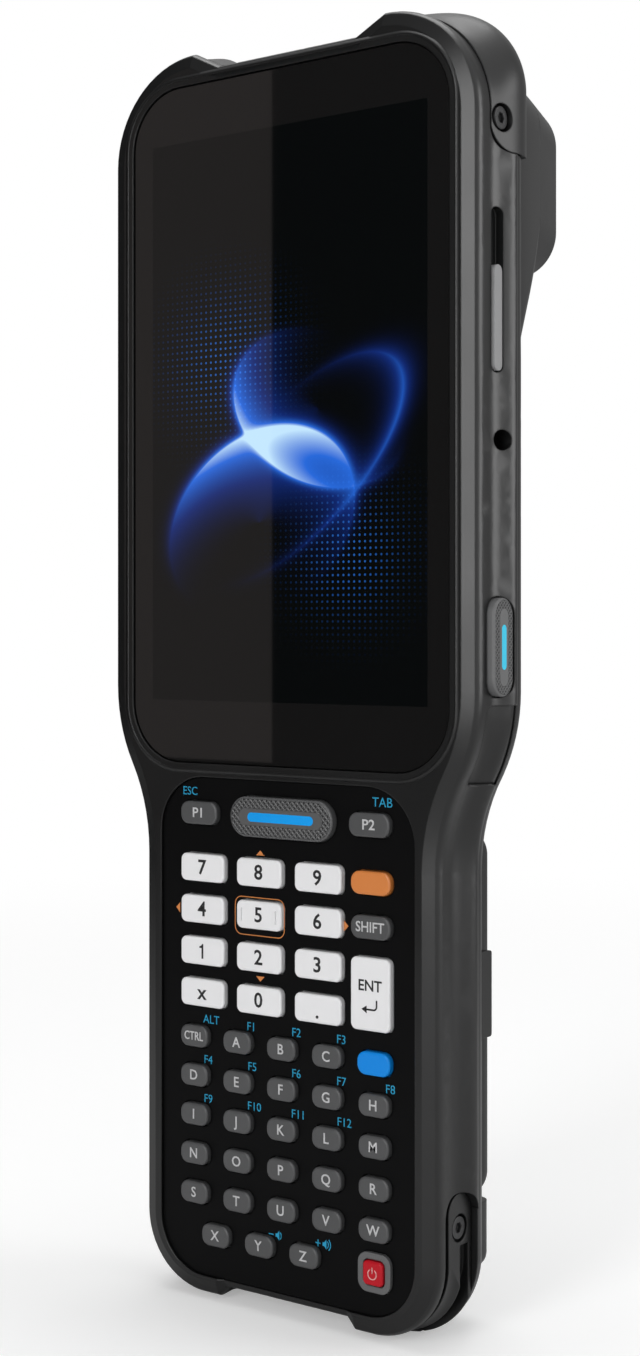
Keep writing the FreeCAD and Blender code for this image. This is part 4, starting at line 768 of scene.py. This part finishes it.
def powerPrint():
    middle = centreOf("power_key")
    down, line = powerMark["ringDown"], powerMark["line"]
    ring = strip(arcPoints(0, -down, powerMark["radius"], powerMark["start"], powerMark["end"], 28), line)
    bar = pillPoints(0, powerMark["barUp"], line, powerMark["barTall"], powerMark["barCorner"], 3)
    outlines = [placed(shape, middle.x, middle.z) for shape in (ring, bar)]
    printShape("legend_power", "power_key", outlines, "legendRose")


wordPrint()
arrowPrint()
ringPrint()
speakerPrint()
powerPrint()

# the frame has one node for each row of letter keys, so the columns are spread over its width
letterKeys = {"width": 7.1 * mm, "rows": [("CTRL", *"ABC"), "DEFGH", "IJKLM", "NOPQR", "STUVW", "XYZ"]}


def letterLegends():
    for row, marks in enumerate(letterKeys["rows"]):
        node = f"letter_keys_row_{row + 1}"
        low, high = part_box(node)
        first, last = low.x + letterKeys["width"] / 2, high.x - letterKeys["width"] / 2
        for column, mark in enumerate(marks):
            x, z = first + (last - first) * column / (len(marks) - 1), (low.z + high.z) / 2
            if mark == "CTRL":
                printText("legend_ctrl", node, mark, x, z, lettering["control"])
            else:
                printText(f"legend_{mark}_{row}", node, mark, x, z, lettering["letter"])


letterLegends()
print("legends printed")

# camera at the photograph's place
cameraPlace = {"position": (203.5 * mm, -280.0 * mm, 112.4 * mm), "turn": 36.86, "lens": 54.36,
               "shiftY": -0.0395}


def placeCamera():
    lens = bpy.data.cameras.new("studio_camera")
    lens.sensor_width = 36.0
    lens.sensor_fit = "AUTO"
    lens.lens = cameraPlace["lens"]
    lens.shift_y = cameraPlace["shiftY"]
    lens.clip_start = 0.01
    camera = bpy.data.objects.new("studio_camera", lens)
    camera.location = cameraPlace["position"]
    camera.rotation_euler = (math.radians(90), 0, math.radians(cameraPlace["turn"]))
    bpy.context.scene.collection.objects.link(camera)
    bpy.context.scene.camera = camera


placeCamera()
print("camera placed")

# studio: pale floor that runs into a white surround, and soft lamps
studio = {
    "floorSize": 12.0, "floorColour": (0.80, 0.80, 0.80), "floorPaler": 1.02, "floorGlow": 0.34,
    "whiteFrom": 0.13, "whiteBy": 0.60, "skyLight": 0.5,
    # dark flags in front on the left and at the left, and a dim one behind: direction, start, end, depth
    "flags": [((-0.6, -0.8, 0.0), 0.30, 0.80, 0.97), ((-1.0, 0.1, 0.0), 0.35, 0.85, 0.85),
              ((0.3, 0.95, 0.0), 0.30, 0.90, 0.65)],
    # name, place, aim, width, height, watts, colour
    "lamps": [
        ("right_soft", (1.0, 0.55, 0.30), (0, 0, 0.11), 0.6, 0.9, 6.0, (1.0, 1.0, 1.0)),
        ("front_soft", (0.05, -1.1, 0.35), (0, 0, 0.11), 0.35, 0.8, 6.2, (1.0, 1.0, 1.0)),
        ("top_soft", (-0.1, 0.15, 1.1), (0, 0, 0.15), 0.7, 0.7, 4.0, (1.0, 1.0, 1.0)),
        ("left_glow", (-0.635, -0.60, 0.29), (-0.635, 0, 0.29), 0.35, 0.5, 0.16, (1.0, 0.88, 0.84)),
    ],
}


# how much of the white surround a direction shows: the flags darken it, but never for the camera
def surroundLevel(tree, direction, path):
    level = None
    for towards, start, end, depth in studio["flags"]:
        alike = vectorMath(tree, "DOT_PRODUCT", direction, towards)["Value"]
        facing = fade(tree, alike, start, end)
        level = joined(tree, "MULTIPLY", level, calc(tree, "MULTIPLY_ADD", facing, -depth, 1.0))
    return calc(tree, "MAXIMUM", level, path["Is Camera Ray"])


# one for what is seen straight, mirrored or through something, and nought for light on surfaces
def seenDirectly(tree, path):
    return calc(tree, "MAXIMUM", path["Is Camera Ray"],
                calc(tree, "MAXIMUM", path["Is Glossy Ray"], path["Is Transmission Ray"]))


def floorPaper():
    material, tree, shader = newMaterial("floorPaper")
    broad = placeGroup(tree, grainGroup, Cloud=6.0).outputs["Broad"]
    pale = tuple(part * studio["floorPaler"] for part in studio["floorColour"])
    path = addNode(tree, "ShaderNodeLightPath").outputs
    setInputs(tree, shader, {
        "Base Color": mixColour(tree, broad, studio["floorColour"], pale),
        "Roughness": 0.9, "Specular IOR Level": 0.0, "Emission Color": (1, 1, 1),
        "Emission Strength": calc(tree, "MULTIPLY", path["Is Camera Ray"], studio["floorGlow"])})
    place = objectPlace(tree)
    away = vectorMath(tree, "LENGTH", place)["Value"]
    outward = vectorMath(tree, "NORMALIZE", place)["Vector"]
    far = fade(tree, away, studio["whiteFrom"], studio["whiteBy"])
    white = addNode(tree, "ShaderNodeEmission", {"Strength": surroundLevel(tree, outward, path)})
    blend = addNode(tree, "ShaderNodeMixShader", {
        0: calc(tree, "MULTIPLY", far, seenDirectly(tree, path)), 1: shader.outputs[0], 2: white.outputs[0]})
    setInputs(tree, tree.nodes["Material Output"], {"Surface": blend.outputs[0]})
    return material


def makeFloor():
    mesh = bpy.data.meshes.new("floor")
    reach = studio["floorSize"]
    corners = [(-reach, -reach, 0), (reach, -reach, 0), (reach, reach, 0), (-reach, reach, 0)]
    mesh.from_pydata(corners, [], [(0, 1, 2, 3)])
    mesh.materials.append(floorPaper())
    floor = bpy.data.objects.new("floor", mesh)
    bpy.context.scene.collection.objects.link(floor)


def makeWorld():
    world = bpy.data.worlds.new("surround")
    bpy.context.scene.world = world
    world.use_nodes = True
    tree = world.node_tree
    path = addNode(tree, "ShaderNodeLightPath").outputs
    direction = addNode(tree, "ShaderNodeTexCoord").outputs["Generated"]
    sky, level = studio["skyLight"], surroundLevel(tree, direction, path)
    strength = calc(tree, "MULTIPLY_ADD", seenDirectly(tree, path), 1.0 - sky, sky)
    setInputs(tree, tree.nodes["Background"], {
        "Color": (1, 1, 1), "Strength": calc(tree, "MULTIPLY", strength, level)})


def makeLamps():
    for name, place, aim, width, height, watts, colour in studio["lamps"]:
        data = bpy.data.lights.new(name, "AREA")
        data.shape = "RECTANGLE"
        data.size, data.size_y = width, height
        data.energy = watts
        data.color = colour
        lamp = bpy.data.objects.new(name, data)
        lamp.location = place
        aimed = Vector(aim) - Vector(place)
        lamp.rotation_euler = aimed.to_track_quat("-Z", "Y").to_euler()
        bpy.context.scene.collection.objects.link(lamp)


makeFloor()
makeWorld()
makeLamps()
bpy.context.scene.view_settings.view_transform = "Standard"
print("studio ready")
